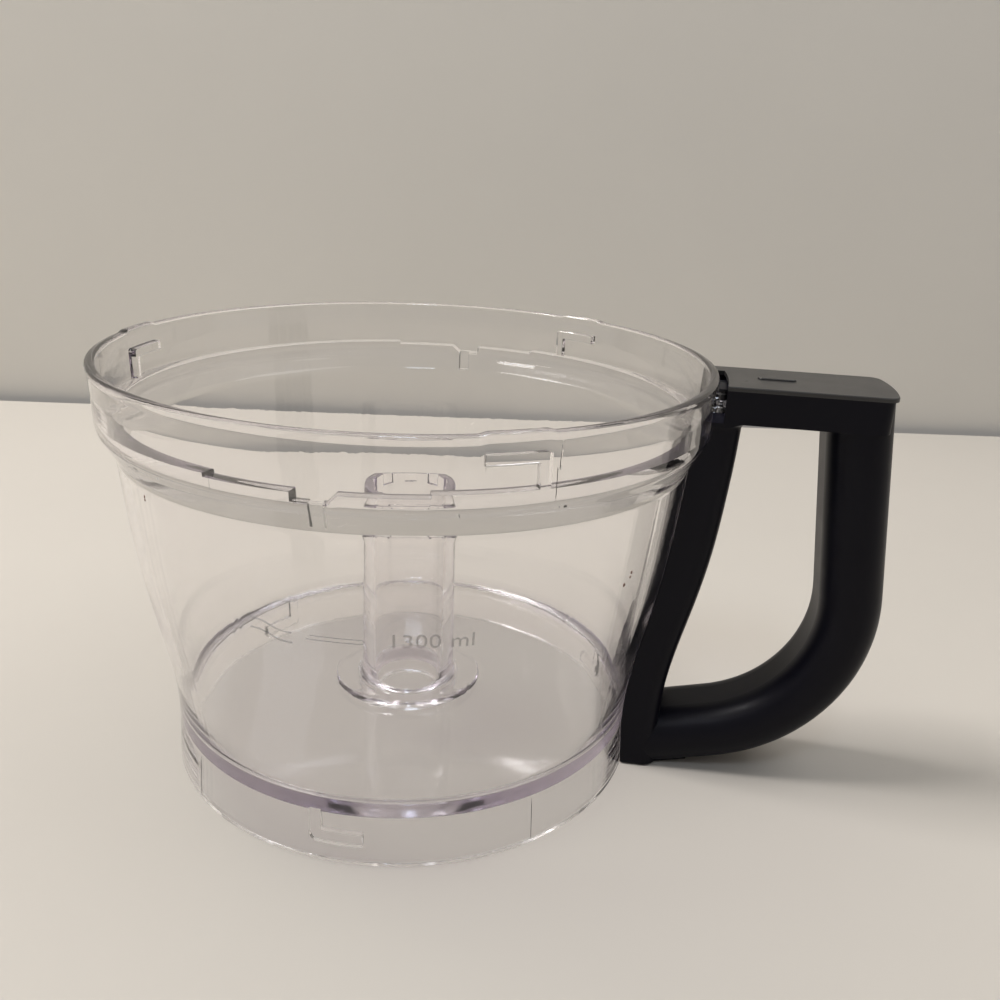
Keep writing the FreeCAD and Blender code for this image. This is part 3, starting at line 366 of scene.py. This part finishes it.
def column_angles():
    """Angle of each column and the angle that its features are read at."""
    edges = [LOW_START, LOW_END, SLOT_START, SLOT_END, SLOT_RAMP_END, CHANNEL_START, CHANNEL_END]
    edges += [a + 180.0 for a in edges]
    for end in LUG_ENDS:
        edges += [end, end - LUG_LEG_ARC, end - LUG_ARC]
    for start in BASE_LUGS:
        edges += [start, start + BASE_LEG_ARC, start + BASE_ARC]
    pitch = 360.0 / SPLINES
    for i in range(SPLINES):
        edges += [SPLINE_FIRST + i * pitch, SPLINE_FIRST + (i + 0.5) * pitch]
    for line in [COLLAR_LINE, COLLAR_LINE + COLLAR_JOG] + list(SKIRT_LINES):
        edges += [line - LINE_EDGE, line + LINE_EDGE]
    extra = []
    for end in LUG_ENDS:
        extra += [end - 0.12, end - 0.3, end - 0.6, end - LUG_ARC - PAD_RAMP, end - PAD_RAMP]
    for start in BASE_LUGS:
        extra += [start + 0.15, start + 0.4, start + 0.8, start + 1.4]
    edges = sorted(set(round(e % 360.0, 4) for e in edges))
    extra = sorted(set(round(e % 360.0, 4) for e in extra))
    columns = []
    for e in edges:
        columns.append((e - STEP_ARC / 2, e - STEP_ARC))
        columns.append((e + STEP_ARC / 2, e + STEP_ARC))
    for e in extra:
        columns.append((e, e))
    taken = edges + extra
    for i in range(COLUMNS):
        a = i * 360.0 / COLUMNS
        if min(abs((a - e + 180) % 360 - 180) for e in taken) > COLUMN_GAP:
            columns.append((a, a))
    return sorted((a % 360.0, b) for a, b in columns)


def mesh_object(name, verts, faces, smooth_below=None):
    mesh = bpy.data.meshes.new(name)
    mesh.from_pydata([tuple(v) for v in verts], [], faces)
    mesh.update()
    obj = bpy.data.objects.new(name, mesh)
    bpy.context.scene.collection.objects.link(obj)
    if smooth_below is not None:
        smooth_by_angle(obj, smooth_below)
    return obj


def smooth_by_angle(obj, degrees):
    """Shades a mesh smooth, with sharp edges where its faces turn by that many degrees or more."""
    mesh = obj.data
    mesh.polygons.foreach_set("use_smooth", [True] * len(mesh.polygons))
    bm = bmesh.new()
    bm.from_mesh(mesh)
    limit = math.radians(degrees)
    for edge in bm.edges:
        if len(edge.link_faces) == 2:
            edge.smooth = edge.calc_face_angle(0.0) < limit
    bm.to_mesh(mesh)
    bm.free()
    mesh.update()


def make_bowl():
    """Closed mesh of the bowl, from one section for each column round it."""
    columns = column_angles()
    verts = []
    rows = 0
    for angle, read_at in columns:
        p = profile(read_at)
        rows = len(p)
        c, s = math.cos(math.radians(angle)) * MM, math.sin(math.radians(angle)) * MM
        verts += [(r * c, r * s, z * MM) for r, z in p]
    faces = []
    n = len(columns)
    for i in range(n):
        j = (i + 1) % n
        for k in range(rows):
            m = (k + 1) % rows
            faces.append((i * rows + k, j * rows + k, j * rows + m, i * rows + m))
    return mesh_object("clear_bowl", verts, faces, BOWL_SMOOTH)


def box_piece(name, x1, x2, y1, y2, z1, z2, bevel=0.0):
    """Box with an optional small bevel, for use as a part of a larger piece."""
    bm = bmesh.new()
    bmesh.ops.create_cube(bm, size=1.0)
    for v in bm.verts:
        v.co = Vector((x1 + (v.co.x + 0.5) * (x2 - x1), y1 + (v.co.y + 0.5) * (y2 - y1),
                       z1 + (v.co.z + 0.5) * (z2 - z1))) * MM
    if bevel:
        bmesh.ops.bevel(bm, geom=list(bm.edges), offset=bevel * MM, segments=2, profile=0.5,
                        affect="EDGES")
    return bm_object(name, bm)


def rod_piece(name, x, y, radius, z1, z2):
    """Upright round rod, for use as a part of a larger piece."""
    bm = bmesh.new()
    bmesh.ops.create_cone(bm, cap_ends=True, segments=40, radius1=radius * MM, radius2=radius * MM,
                          depth=(z2 - z1) * MM)
    bmesh.ops.translate(bm, verts=list(bm.verts), vec=Vector((x, y, (z1 + z2) / 2)) * MM)
    return bm_object(name, bm)


def bm_object(name, bm):
    mesh = bpy.data.meshes.new(name)
    bm.to_mesh(mesh)
    bm.free()
    obj = bpy.data.objects.new(name, mesh)
    bpy.context.scene.collection.objects.link(obj)
    return obj


def combine(obj, other, operation):
    """Joins or cuts one mesh with another and removes the other."""
    tool = obj.modifiers.new("combine", "BOOLEAN")
    tool.operation = operation
    tool.solver = "EXACT"
    tool.object = other
    graph = bpy.context.evaluated_depsgraph_get()
    mesh = bpy.data.meshes.new_from_object(obj.evaluated_get(graph))
    obj.modifiers.remove(tool)
    old = obj.data
    obj.data = mesh
    bpy.data.meshes.remove(old)
    bpy.data.objects.remove(other)


def add_handle_seats(bowl):
    """Tab under the collar and the two screw bosses on the skirt."""
    tab = box_piece("tab", TAB_IN, TAB_OUT, -TAB_HALF, TAB_HALF, TAB_Z1, TAB_Z2, TAB_BEVEL)
    slot = box_piece("slot", TAB_SLOT_IN, TAB_SLOT_OUT, -TAB_SLOT_HALF, TAB_SLOT_HALF,
                     TAB_Z1 - 1, TAB_Z2 + 1)
    combine(tab, slot, "DIFFERENCE")
    for y in (-SCREW_Y, SCREW_Y):
        hole = rod_piece("hole", TAB_HOLE_X, y, TAB_HOLE_R, TAB_Z1 - 1, TAB_Z2 + 1)
        combine(tab, hole, "DIFFERENCE")
    combine(bowl, tab, "UNION")
    for y in (-SCREW_Y, SCREW_Y):
        boss = rod_piece("boss", BOSS_X, y, BOSS_R, BOSS_Z1, BOSS_Z2)
        web = box_piece("web", SKIRT_R - WEB_IN, BOSS_X, y - WEB_HALF, y + WEB_HALF,
                        BOSS_Z1, BOSS_Z2 - WEB_DROP)
        combine(boss, web, "UNION")
        combine(boss, rod_piece("hole", BOSS_X, y, BOSS_HOLE_R, 0.0, BOSS_HOLE_Z), "DIFFERENCE")
        combine(bowl, boss, "UNION")
    smooth_by_angle(bowl, BOWL_SMOOTH)


def on_wall(angle, z, lift=0.0):
    """Point on the outside of the wall, in metres."""
    r = outer_r(z) + lift
    return Vector((r * math.cos(math.radians(angle)), r * math.sin(math.radians(angle)), z)) * MM


def tube_along(bm, points, radius, sides=8):
    """Round thread through points, closed at both ends."""
    rings = []
    for i, p in enumerate(points):
        ahead = (points[min(i + 1, len(points) - 1)] - points[max(i - 1, 0)]).normalized()
        out = Vector((p.x, p.y, 0)).normalized()
        across = ahead.cross(out).normalized()
        out = across.cross(ahead).normalized()
        ring = []
        for k in range(sides):
            t = 2 * math.pi * k / sides
            ring.append(bm.verts.new(p + (out * math.cos(t) + across * math.sin(t)) * radius * MM))
        rings.append(ring)
    for a, b in zip(rings, rings[1:]):
        for k in range(sides):
            bm.faces.new((a[k], a[(k + 1) % sides], b[(k + 1) % sides], b[k]))
    bm.faces.new(list(reversed(rings[0])))
    bm.faces.new(rings[-1])


def make_level_marks():
    """Raised marks on the near side: two waves and a long pointer."""
    bm = bmesh.new()
    for drop in (0.0, WAVE_GAP):
        points = []
        for i in range(25):
            t = i / 24.0
            fall = 0.5 - 0.5 * math.cos(math.pi * t)
            fall = fall * fall * (3 - 2 * fall)
            z = MARK_Z + WAVE_TOP - drop - WAVE_FALL * fall
            points.append(on_wall(WAVE_START + WAVE_ARC * t, z))
        tube_along(bm, points, MARK_W / 2)
    points = []
    for (a1, z1), (a2, z2) in zip(POINTER, POINTER[1:]):
        steps = 12 if abs(a2 - a1) > 1 else 2
        for i in range(steps):
            t = i / steps
            points.append(on_wall(a1 + (a2 - a1) * t, MARK_Z + z1 + (z2 - z1) * t))
    tube_along(bm, points, BAR_W / 2)
    marks = bm_object("level_marks", bm)
    smooth_by_angle(marks, 60.0)
    return marks


def make_amount():
    """Plain amount in raised figures beside the pointer, bent round the wall."""
    curve = bpy.data.curves.new("amount", "FONT")
    curve.body = AMOUNT
    curve.size = AMOUNT_H * MM
    curve.extrude = AMOUNT_T * MM
    curve.space_character = AMOUNT_SPACE
    flat = bpy.data.objects.new("amount_flat", curve)
    bpy.context.scene.collection.objects.link(flat)
    graph = bpy.context.evaluated_depsgraph_get()
    mesh = bpy.data.meshes.new_from_object(flat.evaluated_get(graph))
    bpy.data.objects.remove(flat)
    bm = bmesh.new()
    bm.from_mesh(mesh)
    bpy.data.meshes.remove(mesh)
    bmesh.ops.triangulate(bm, faces=list(bm.faces))
    width = max(v.co.x for v in bm.verts)
    for v in bm.verts:
        z = AMOUNT_Z + v.co.y / MM
        angle = AMOUNT_START + AMOUNT_ARC * v.co.x / width
        v.co = on_wall(angle, z, AMOUNT_LIFT + v.co.z / MM)
    return bm_object("amount", bm)


def make_specks():
    """Specks of dried food on the outside of the wall."""
    bm = bmesh.new()
    for angle, z, size in SPECKS:
        turn = Matrix.Rotation(math.radians(angle), 4, "Z")
        flat = Matrix.Diagonal((SPECK_T * MM, size * MM, SPECK_TALL * size * MM, 1.0))
        place = Matrix.Translation(on_wall(angle, z))
        bmesh.ops.create_icosphere(bm, subdivisions=2, radius=1.0, matrix=place @ turn @ flat)
    specks = bm_object("specks", bm)
    smooth_by_angle(specks, 80.0)
    return specks


def make_coil():
    """Wire coil under the head of the push rod. The real spring shortens as the rod goes down; this coil
    keeps its length.
    """
    z1, z2 = COIL_Z1 + WIRE_R, COIL_Z2 - WIRE_R
    steps, sides = COIL_TURNS * 48, 12
    climb = (z2 - z1) / (2 * math.pi * COIL_TURNS)
    verts, faces = [], []
    for i in range(steps + 1):
        t = 2 * math.pi * COIL_TURNS * i / steps
        out = Vector((math.cos(t), math.sin(t), 0))
        ahead = Vector((-math.sin(t) * COIL_R, math.cos(t) * COIL_R, climb))
        across = ahead.normalized().cross(out)
        centre = Vector((COIL_X, 0, z1 + (z2 - z1) * i / steps)) + out * COIL_R
        for k in range(sides):
            u = 2 * math.pi * k / sides
            verts.append((centre + (out * math.cos(u) + across * math.sin(u)) * WIRE_R) * MM)
            if i:
                a, b = (i - 1) * sides + k, (i - 1) * sides + (k + 1) % sides
                faces.append((a, b, b + sides, a + sides))
    faces.append(tuple(range(sides - 1, -1, -1)))
    faces.append(tuple(range(steps * sides, (steps + 1) * sides)))
    return mesh_object("coil", verts, faces, 50.0)


# Materials

def new_material(name):
    mat = bpy.data.materials.new(name)
    mat.use_nodes = True
    tree = mat.node_tree
    tree.nodes.clear()
    out = tree.nodes.new("ShaderNodeOutputMaterial")
    return mat, tree, out


def link(tree, a, b):
    tree.links.new(a, b)


def noise(tree, coords, scale, detail=2.0, rough=0.5, stretch=None):
    """Noise over the object's own coordinates, with more waves along an axis where it is stretched."""
    node = tree.nodes.new("ShaderNodeTexNoise")
    node.inputs["Scale"].default_value = scale
    node.inputs["Detail"].default_value = detail
    node.inputs["Roughness"].default_value = rough
    source = coords
    if stretch:
        mapping = tree.nodes.new("ShaderNodeMapping")
        mapping.inputs["Scale"].default_value = stretch
        link(tree, coords, mapping.inputs["Vector"])
        source = mapping.outputs["Vector"]
    link(tree, source, node.inputs["Vector"])
    return node.outputs["Fac"]


def remap(tree, value, from_low, from_high, to_low, to_high):
    node = tree.nodes.new("ShaderNodeMapRange")
    limits = (from_low, from_high, to_low, to_high)
    for key, limit in zip(("From Min", "From Max", "To Min", "To Max"), limits):
        node.inputs[key].default_value = limit
    link(tree, value, node.inputs["Value"])
    return node.outputs["Result"]


def bump(tree, height, distance, strength):
    node = tree.nodes.new("ShaderNodeBump")
    node.inputs["Distance"].default_value = distance
    node.inputs["Strength"].default_value = strength
    link(tree, height, node.inputs["Height"])
    return node.outputs["Normal"]


def clear_plastic():
    """Clear plastic with a faint tint in its depth, fine scuffs and a worn top of the floor.

    Shadow rays pass straight through it, so that what lies under the bowl is lit.
    """
    mat, tree, out = new_material("clear_plastic")
    coords = tree.nodes.new("ShaderNodeTexCoord").outputs["Object"]
    bsdf = tree.nodes.new("ShaderNodeBsdfPrincipled")
    bsdf.inputs["Base Color"].default_value = (0.992, 0.988, 0.986, 1)
    bsdf.inputs["IOR"].default_value = 1.56
    bsdf.inputs["Transmission Weight"].default_value = 1.0
    haze = noise(tree, coords, 90.0, 4.0, 0.6)
    scuffs = noise(tree, coords, 60.0, 5.0, 0.7, (14.0, 14.0, 1.0))
    place = tree.nodes.new("ShaderNodeSeparateXYZ")
    link(tree, coords, place.inputs[0])
    worn = remap(tree, place.outputs["Z"], 0.0198, 0.0203, 0.09, 0.0)
    under = remap(tree, place.outputs["Z"], 0.0170, 0.0195, 0.0, 1.0)
    rough = tree.nodes.new("ShaderNodeMath")
    rough.operation = "MULTIPLY_ADD"
    link(tree, worn, rough.inputs[0])
    link(tree, under, rough.inputs[1])
    link(tree, remap(tree, scuffs, 0.62, 0.8, 0.0, 0.06), rough.inputs[2])
    link(tree, rough.outputs[0], bsdf.inputs["Roughness"])
    flow = bump(tree, haze, 0.00004, 0.35)
    link(tree, flow, bsdf.inputs["Normal"])
    tint = tree.nodes.new("ShaderNodeVolumeAbsorption")
    tint.inputs["Color"].default_value = (0.65, 0.59, 0.69, 1)
    tint.inputs["Density"].default_value = 14.0
    through = tree.nodes.new("ShaderNodeBsdfTransparent")
    through.inputs["Color"].default_value = (0.998, 0.995, 0.994, 1)
    path = tree.nodes.new("ShaderNodeLightPath")
    pick = tree.nodes.new("ShaderNodeMixShader")
    link(tree, path.outputs["Is Shadow Ray"], pick.inputs[0])
    link(tree, bsdf.outputs["BSDF"], pick.inputs[1])
    link(tree, through.outputs["BSDF"], pick.inputs[2])
    link(tree, pick.outputs["Shader"], out.inputs["Surface"])
    link(tree, tint.outputs["Volume"], out.inputs["Volume"])
    return mat


def mark_painted_edge_shade():
    """Painted grey edge shading of thin raised marks in clear plastic: a partly see-through grey with
    random tone stands in for the light the marks bend at their edges.
    """
    mat, tree, out = new_material("raised_marks_painted_shade")
    coords = tree.nodes.new("ShaderNodeTexCoord").outputs["Object"]
    bsdf = tree.nodes.new("ShaderNodeBsdfPrincipled")
    # Painted edge shading: these greys replace the refracted edge light of the clear raised marks.
    ramp = tree.nodes.new("ShaderNodeValToRGB")
    ramp.color_ramp.elements[0].color = (0.26, 0.24, 0.24, 1)
    ramp.color_ramp.elements[1].color = (0.50, 0.48, 0.46, 1)
    link(tree, noise(tree, coords, 400.0, 3.0), ramp.inputs["Fac"])
    link(tree, ramp.outputs["Color"], bsdf.inputs["Base Color"])
    bsdf.inputs["Roughness"].default_value = 0.2
    bsdf.inputs["Alpha"].default_value = 0.3
    link(tree, bsdf.outputs["BSDF"], out.inputs["Surface"])
    return mat


def dried_food():
    """Brownish red with small changes of tone."""
    mat, tree, out = new_material("dried_food")
    coords = tree.nodes.new("ShaderNodeTexCoord").outputs["Object"]
    bsdf = tree.nodes.new("ShaderNodeBsdfPrincipled")
    ramp = tree.nodes.new("ShaderNodeValToRGB")
    ramp.color_ramp.elements[0].color = (0.10, 0.035, 0.025, 1)
    ramp.color_ramp.elements[1].color = (0.26, 0.11, 0.08, 1)
    link(tree, noise(tree, coords, 900.0, 3.0), ramp.inputs["Fac"])
    link(tree, ramp.outputs["Color"], bsdf.inputs["Base Color"])
    bsdf.inputs["Roughness"].default_value = 0.6
    link(tree, bsdf.outputs["BSDF"], out.inputs["Surface"])
    return mat


def black_plastic(name, base, rough, grain_scale, grain, shine=0.5):
    """Dark moulded plastic with a fine grain and uneven sheen from handling."""
    mat, tree, out = new_material(name)
    coords = tree.nodes.new("ShaderNodeTexCoord").outputs["Object"]
    bsdf = tree.nodes.new("ShaderNodeBsdfPrincipled")
    ramp = tree.nodes.new("ShaderNodeValToRGB")
    ramp.color_ramp.elements[0].color = tuple(c * 0.85 for c in base) + (1,)
    ramp.color_ramp.elements[1].color = tuple(c * 1.2 for c in base) + (1,)
    link(tree, noise(tree, coords, 35.0, 4.0, 0.6), ramp.inputs["Fac"])
    link(tree, ramp.outputs["Color"], bsdf.inputs["Base Color"])
    wipe = noise(tree, coords, 25.0, 5.0, 0.65)
    link(tree, remap(tree, wipe, 0.3, 0.7, rough - 0.05, rough + 0.06), bsdf.inputs["Roughness"])
    bsdf.inputs["IOR"].default_value = 1.5
    bsdf.inputs["Specular IOR Level"].default_value = shine
    fine = noise(tree, coords, grain_scale, 2.0, 0.5)
    link(tree, bump(tree, fine, grain, 0.6), bsdf.inputs["Normal"])
    link(tree, bsdf.outputs["BSDF"], out.inputs["Surface"])
    return mat


def metal(name, base, rough):
    """Metal with small changes of tone and sheen."""
    mat, tree, out = new_material(name)
    coords = tree.nodes.new("ShaderNodeTexCoord").outputs["Object"]
    bsdf = tree.nodes.new("ShaderNodeBsdfPrincipled")
    bsdf.inputs["Metallic"].default_value = 1.0
    ramp = tree.nodes.new("ShaderNodeValToRGB")
    ramp.color_ramp.elements[0].color = tuple(c * 0.8 for c in base) + (1,)
    ramp.color_ramp.elements[1].color = base + (1,)
    link(tree, noise(tree, coords, 300.0, 3.0), ramp.inputs["Fac"])
    link(tree, ramp.outputs["Color"], bsdf.inputs["Base Color"])
    link(tree, remap(tree, noise(tree, coords, 500.0, 3.0), 0.3, 0.7, rough, rough + 0.12),
         bsdf.inputs["Roughness"])
    link(tree, bsdf.outputs["BSDF"], out.inputs["Surface"])
    return mat


def dress(obj, mat):
    obj.data.materials.clear()
    obj.data.materials.append(mat)


# Stage: pale table top, a pale wall past its edge, and soft lamps. Places are in metres.

def cloth(name, colour, weave, one_sided=False):
    """Pale matt surface with a fine uneven weave, open from behind where it is one-sided."""
    mat, tree, out = new_material(name)
    coords = tree.nodes.new("ShaderNodeTexCoord").outputs["Object"]
    bsdf = tree.nodes.new("ShaderNodeBsdfPrincipled")
    ramp = tree.nodes.new("ShaderNodeValToRGB")
    ramp.color_ramp.elements[0].color = tuple(c * (1 - weave) for c in colour) + (1,)
    ramp.color_ramp.elements[1].color = tuple(min(c * (1 + weave), 1.0) for c in colour) + (1,)
    link(tree, noise(tree, coords, 6.0, 4.0, 0.6), ramp.inputs["Fac"])
    link(tree, ramp.outputs["Color"], bsdf.inputs["Base Color"])
    bsdf.inputs["Roughness"].default_value = 0.85
    if one_sided:
        pick = tree.nodes.new("ShaderNodeMixShader")
        link(tree, tree.nodes.new("ShaderNodeNewGeometry").outputs["Backfacing"], pick.inputs[0])
        link(tree, bsdf.outputs["BSDF"], pick.inputs[1])
        link(tree, tree.nodes.new("ShaderNodeBsdfTransparent").outputs["BSDF"], pick.inputs[2])
        link(tree, pick.outputs["Shader"], out.inputs["Surface"])
    else:
        link(tree, bsdf.outputs["BSDF"], out.inputs["Surface"])
    return mat


def make_stage():
    """Pale table top that ends behind the bowl, and a slightly darker wall past it."""
    edge_y, edge_turn = 0.426, math.radians(9.4)
    front_y, half_width, wall_foot, wall_top, below_foot = -2.4, 4.0, -0.05, 2.6, 0.0002
    floor_run = [(front_y, 0.0), (edge_y, 0.0)]
    wall_run = [(edge_y + 0.01, wall_foot), (edge_y + 0.02, wall_top)]
    for name, run, colour in (("stage_floor", floor_run, (0.57, 0.53, 0.475)),
                              ("stage_wall", wall_run, (0.74, 0.705, 0.64))):
        verts = [(x, y, z) for y, z in run for x in (-half_width, half_width)]
        sheet = mesh_object(name, verts, [(0, 1, 3, 2)])
        sheet.location.z = -below_foot
        sheet.rotation_euler.z = edge_turn
        dress(sheet, cloth(name, colour, 0.03, name == "stage_wall"))


def lamp(name, place, aim, size, watts, colour):
    data = bpy.data.lights.new(name, "AREA")
    data.shape = "RECTANGLE"
    data.size, data.size_y = size
    data.energy = watts
    data.color = colour
    obj = bpy.data.objects.new(name, data)
    bpy.context.scene.collection.objects.link(obj)
    obj.location = place
    obj.rotation_euler = (Vector(aim) - Vector(place)).to_track_quat("-Z", "Y").to_euler()


def make_lights():
    """Three lamps, and a world that is dim behind the camera and pale wherever it is seen."""
    aim = (0.0, 0.0, 0.05)
    lamp("key", (-0.94, -0.06, 1.76), aim, (0.66, 0.66), 30.0, (1.0, 0.98, 0.96))
    lamp("fill", (0.9, 0.1, 1.5), aim, (0.9, 0.9), 5.0, (0.95, 0.97, 1.0))
    lamp("window", (0.1, -0.8, 1.25), aim, (0.25, 0.25), 2.0, (0.75, 0.86, 1.0))
    world = bpy.data.worlds.new("world")
    bpy.context.scene.world = world
    world.use_nodes = True
    tree = world.node_tree
    back = tree.nodes["Background"]
    where = tree.nodes.new("ShaderNodeSeparateXYZ")
    link(tree, tree.nodes.new("ShaderNodeTexCoord").outputs["Generated"], where.inputs[0])
    height = remap(tree, where.outputs["Z"], 0.15, 0.75, 0.0, 1.0)
    behind = remap(tree, where.outputs["Y"], -0.5, 0.4, 0.0, 0.6)
    lift = tree.nodes.new("ShaderNodeMath")
    lift.operation = "MAXIMUM"
    link(tree, height, lift.inputs[0])
    link(tree, behind, lift.inputs[1])
    ramp = tree.nodes.new("ShaderNodeValToRGB")
    ramp.color_ramp.elements[0].color = (0.13, 0.125, 0.15, 1)
    ramp.color_ramp.elements[1].color = (0.80, 0.79, 0.78, 1)
    link(tree, lift.outputs[0], ramp.inputs["Fac"])
    link(tree, ramp.outputs["Color"], back.inputs["Color"])
    back.inputs["Strength"].default_value = 0.50
    seen = tree.nodes.new("ShaderNodeBackground")
    seen.inputs["Color"].default_value = (0.44, 0.42, 0.39, 1)
    path = tree.nodes.new("ShaderNodeLightPath")
    sees = path.outputs["Is Camera Ray"]
    for key in ("Is Glossy Ray", "Is Transmission Ray"):
        either = tree.nodes.new("ShaderNodeMath")
        either.operation = "MAXIMUM"
        link(tree, sees, either.inputs[0])
        link(tree, path.outputs[key], either.inputs[1])
        sees = either.outputs[0]
    pick = tree.nodes.new("ShaderNodeMixShader")
    link(tree, sees, pick.inputs[0])
    link(tree, back.outputs["Background"], pick.inputs[1])
    link(tree, seen.outputs["Background"], pick.inputs[2])
    link(tree, pick.outputs["Shader"], tree.nodes["World Output"].inputs["Surface"])


make_camera()
make_stage()
make_lights()

clear = clear_plastic()
bowl = make_bowl()
add_handle_seats(bowl)
dress(bowl, clear)
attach(bowl, "bowl_body")
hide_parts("bowl")
# Painted grey edge shading for the raised level marks and amount.
marks = mark_painted_edge_shade()
for piece in (make_level_marks(), make_amount()):
    dress(piece, marks)
    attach(piece, "bowl_body")
specks = make_specks()
dress(specks, dried_food())
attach(specks, "bowl_body")

dress(nodes["handle_shell"],
      black_plastic("handle_black", (0.0026, 0.0025, 0.0058), 0.36, 2500.0, 0.00002, 0.14))
# Cover plate: glossy grey-black plastic. Its base colour, lighter than the shell's, is partly painted light
# that makes the top of the handle lighter than its sides.
dress(nodes["handle_cover"], black_plastic("cover_black", (0.020, 0.019, 0.019), 0.30, 3000.0, 0.00001))
dress(nodes["push_rod"], black_plastic("rod_black", (0.006, 0.006, 0.009), 0.30, 1500.0, 0.00001, 0.35))
steel = metal("spring_steel", (0.22, 0.22, 0.23), 0.30)
dress(nodes["rod_spring"], steel)
coil = make_coil()
dress(coil, steel)
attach(coil, "interlock")
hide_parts("rod_spring")
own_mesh(coil)
top_screw = metal("screw_steel", (0.09, 0.09, 0.10), 0.34)
foot_screw = metal("screw_zinc", (0.75, 0.66, 0.45), 0.28)
for side in ("near", "far"):
    dress(nodes["screw_top_" + side], top_screw)
    dress(nodes["screw_foot_" + side], foot_screw)

# A ray through the bowl meets many clear faces. Without caustics, what lies under it is lit once,
# by the shadow rays that pass through.
cycles = bpy.context.scene.cycles
cycles.max_bounces = 28
cycles.transmission_bounces = 28
cycles.glossy_bounces = 28
cycles.caustics_refractive = False
cycles.caustics_reflective = False
cycles.transparent_max_bounces = 16
bpy.context.scene.view_settings.view_transform = "Standard"
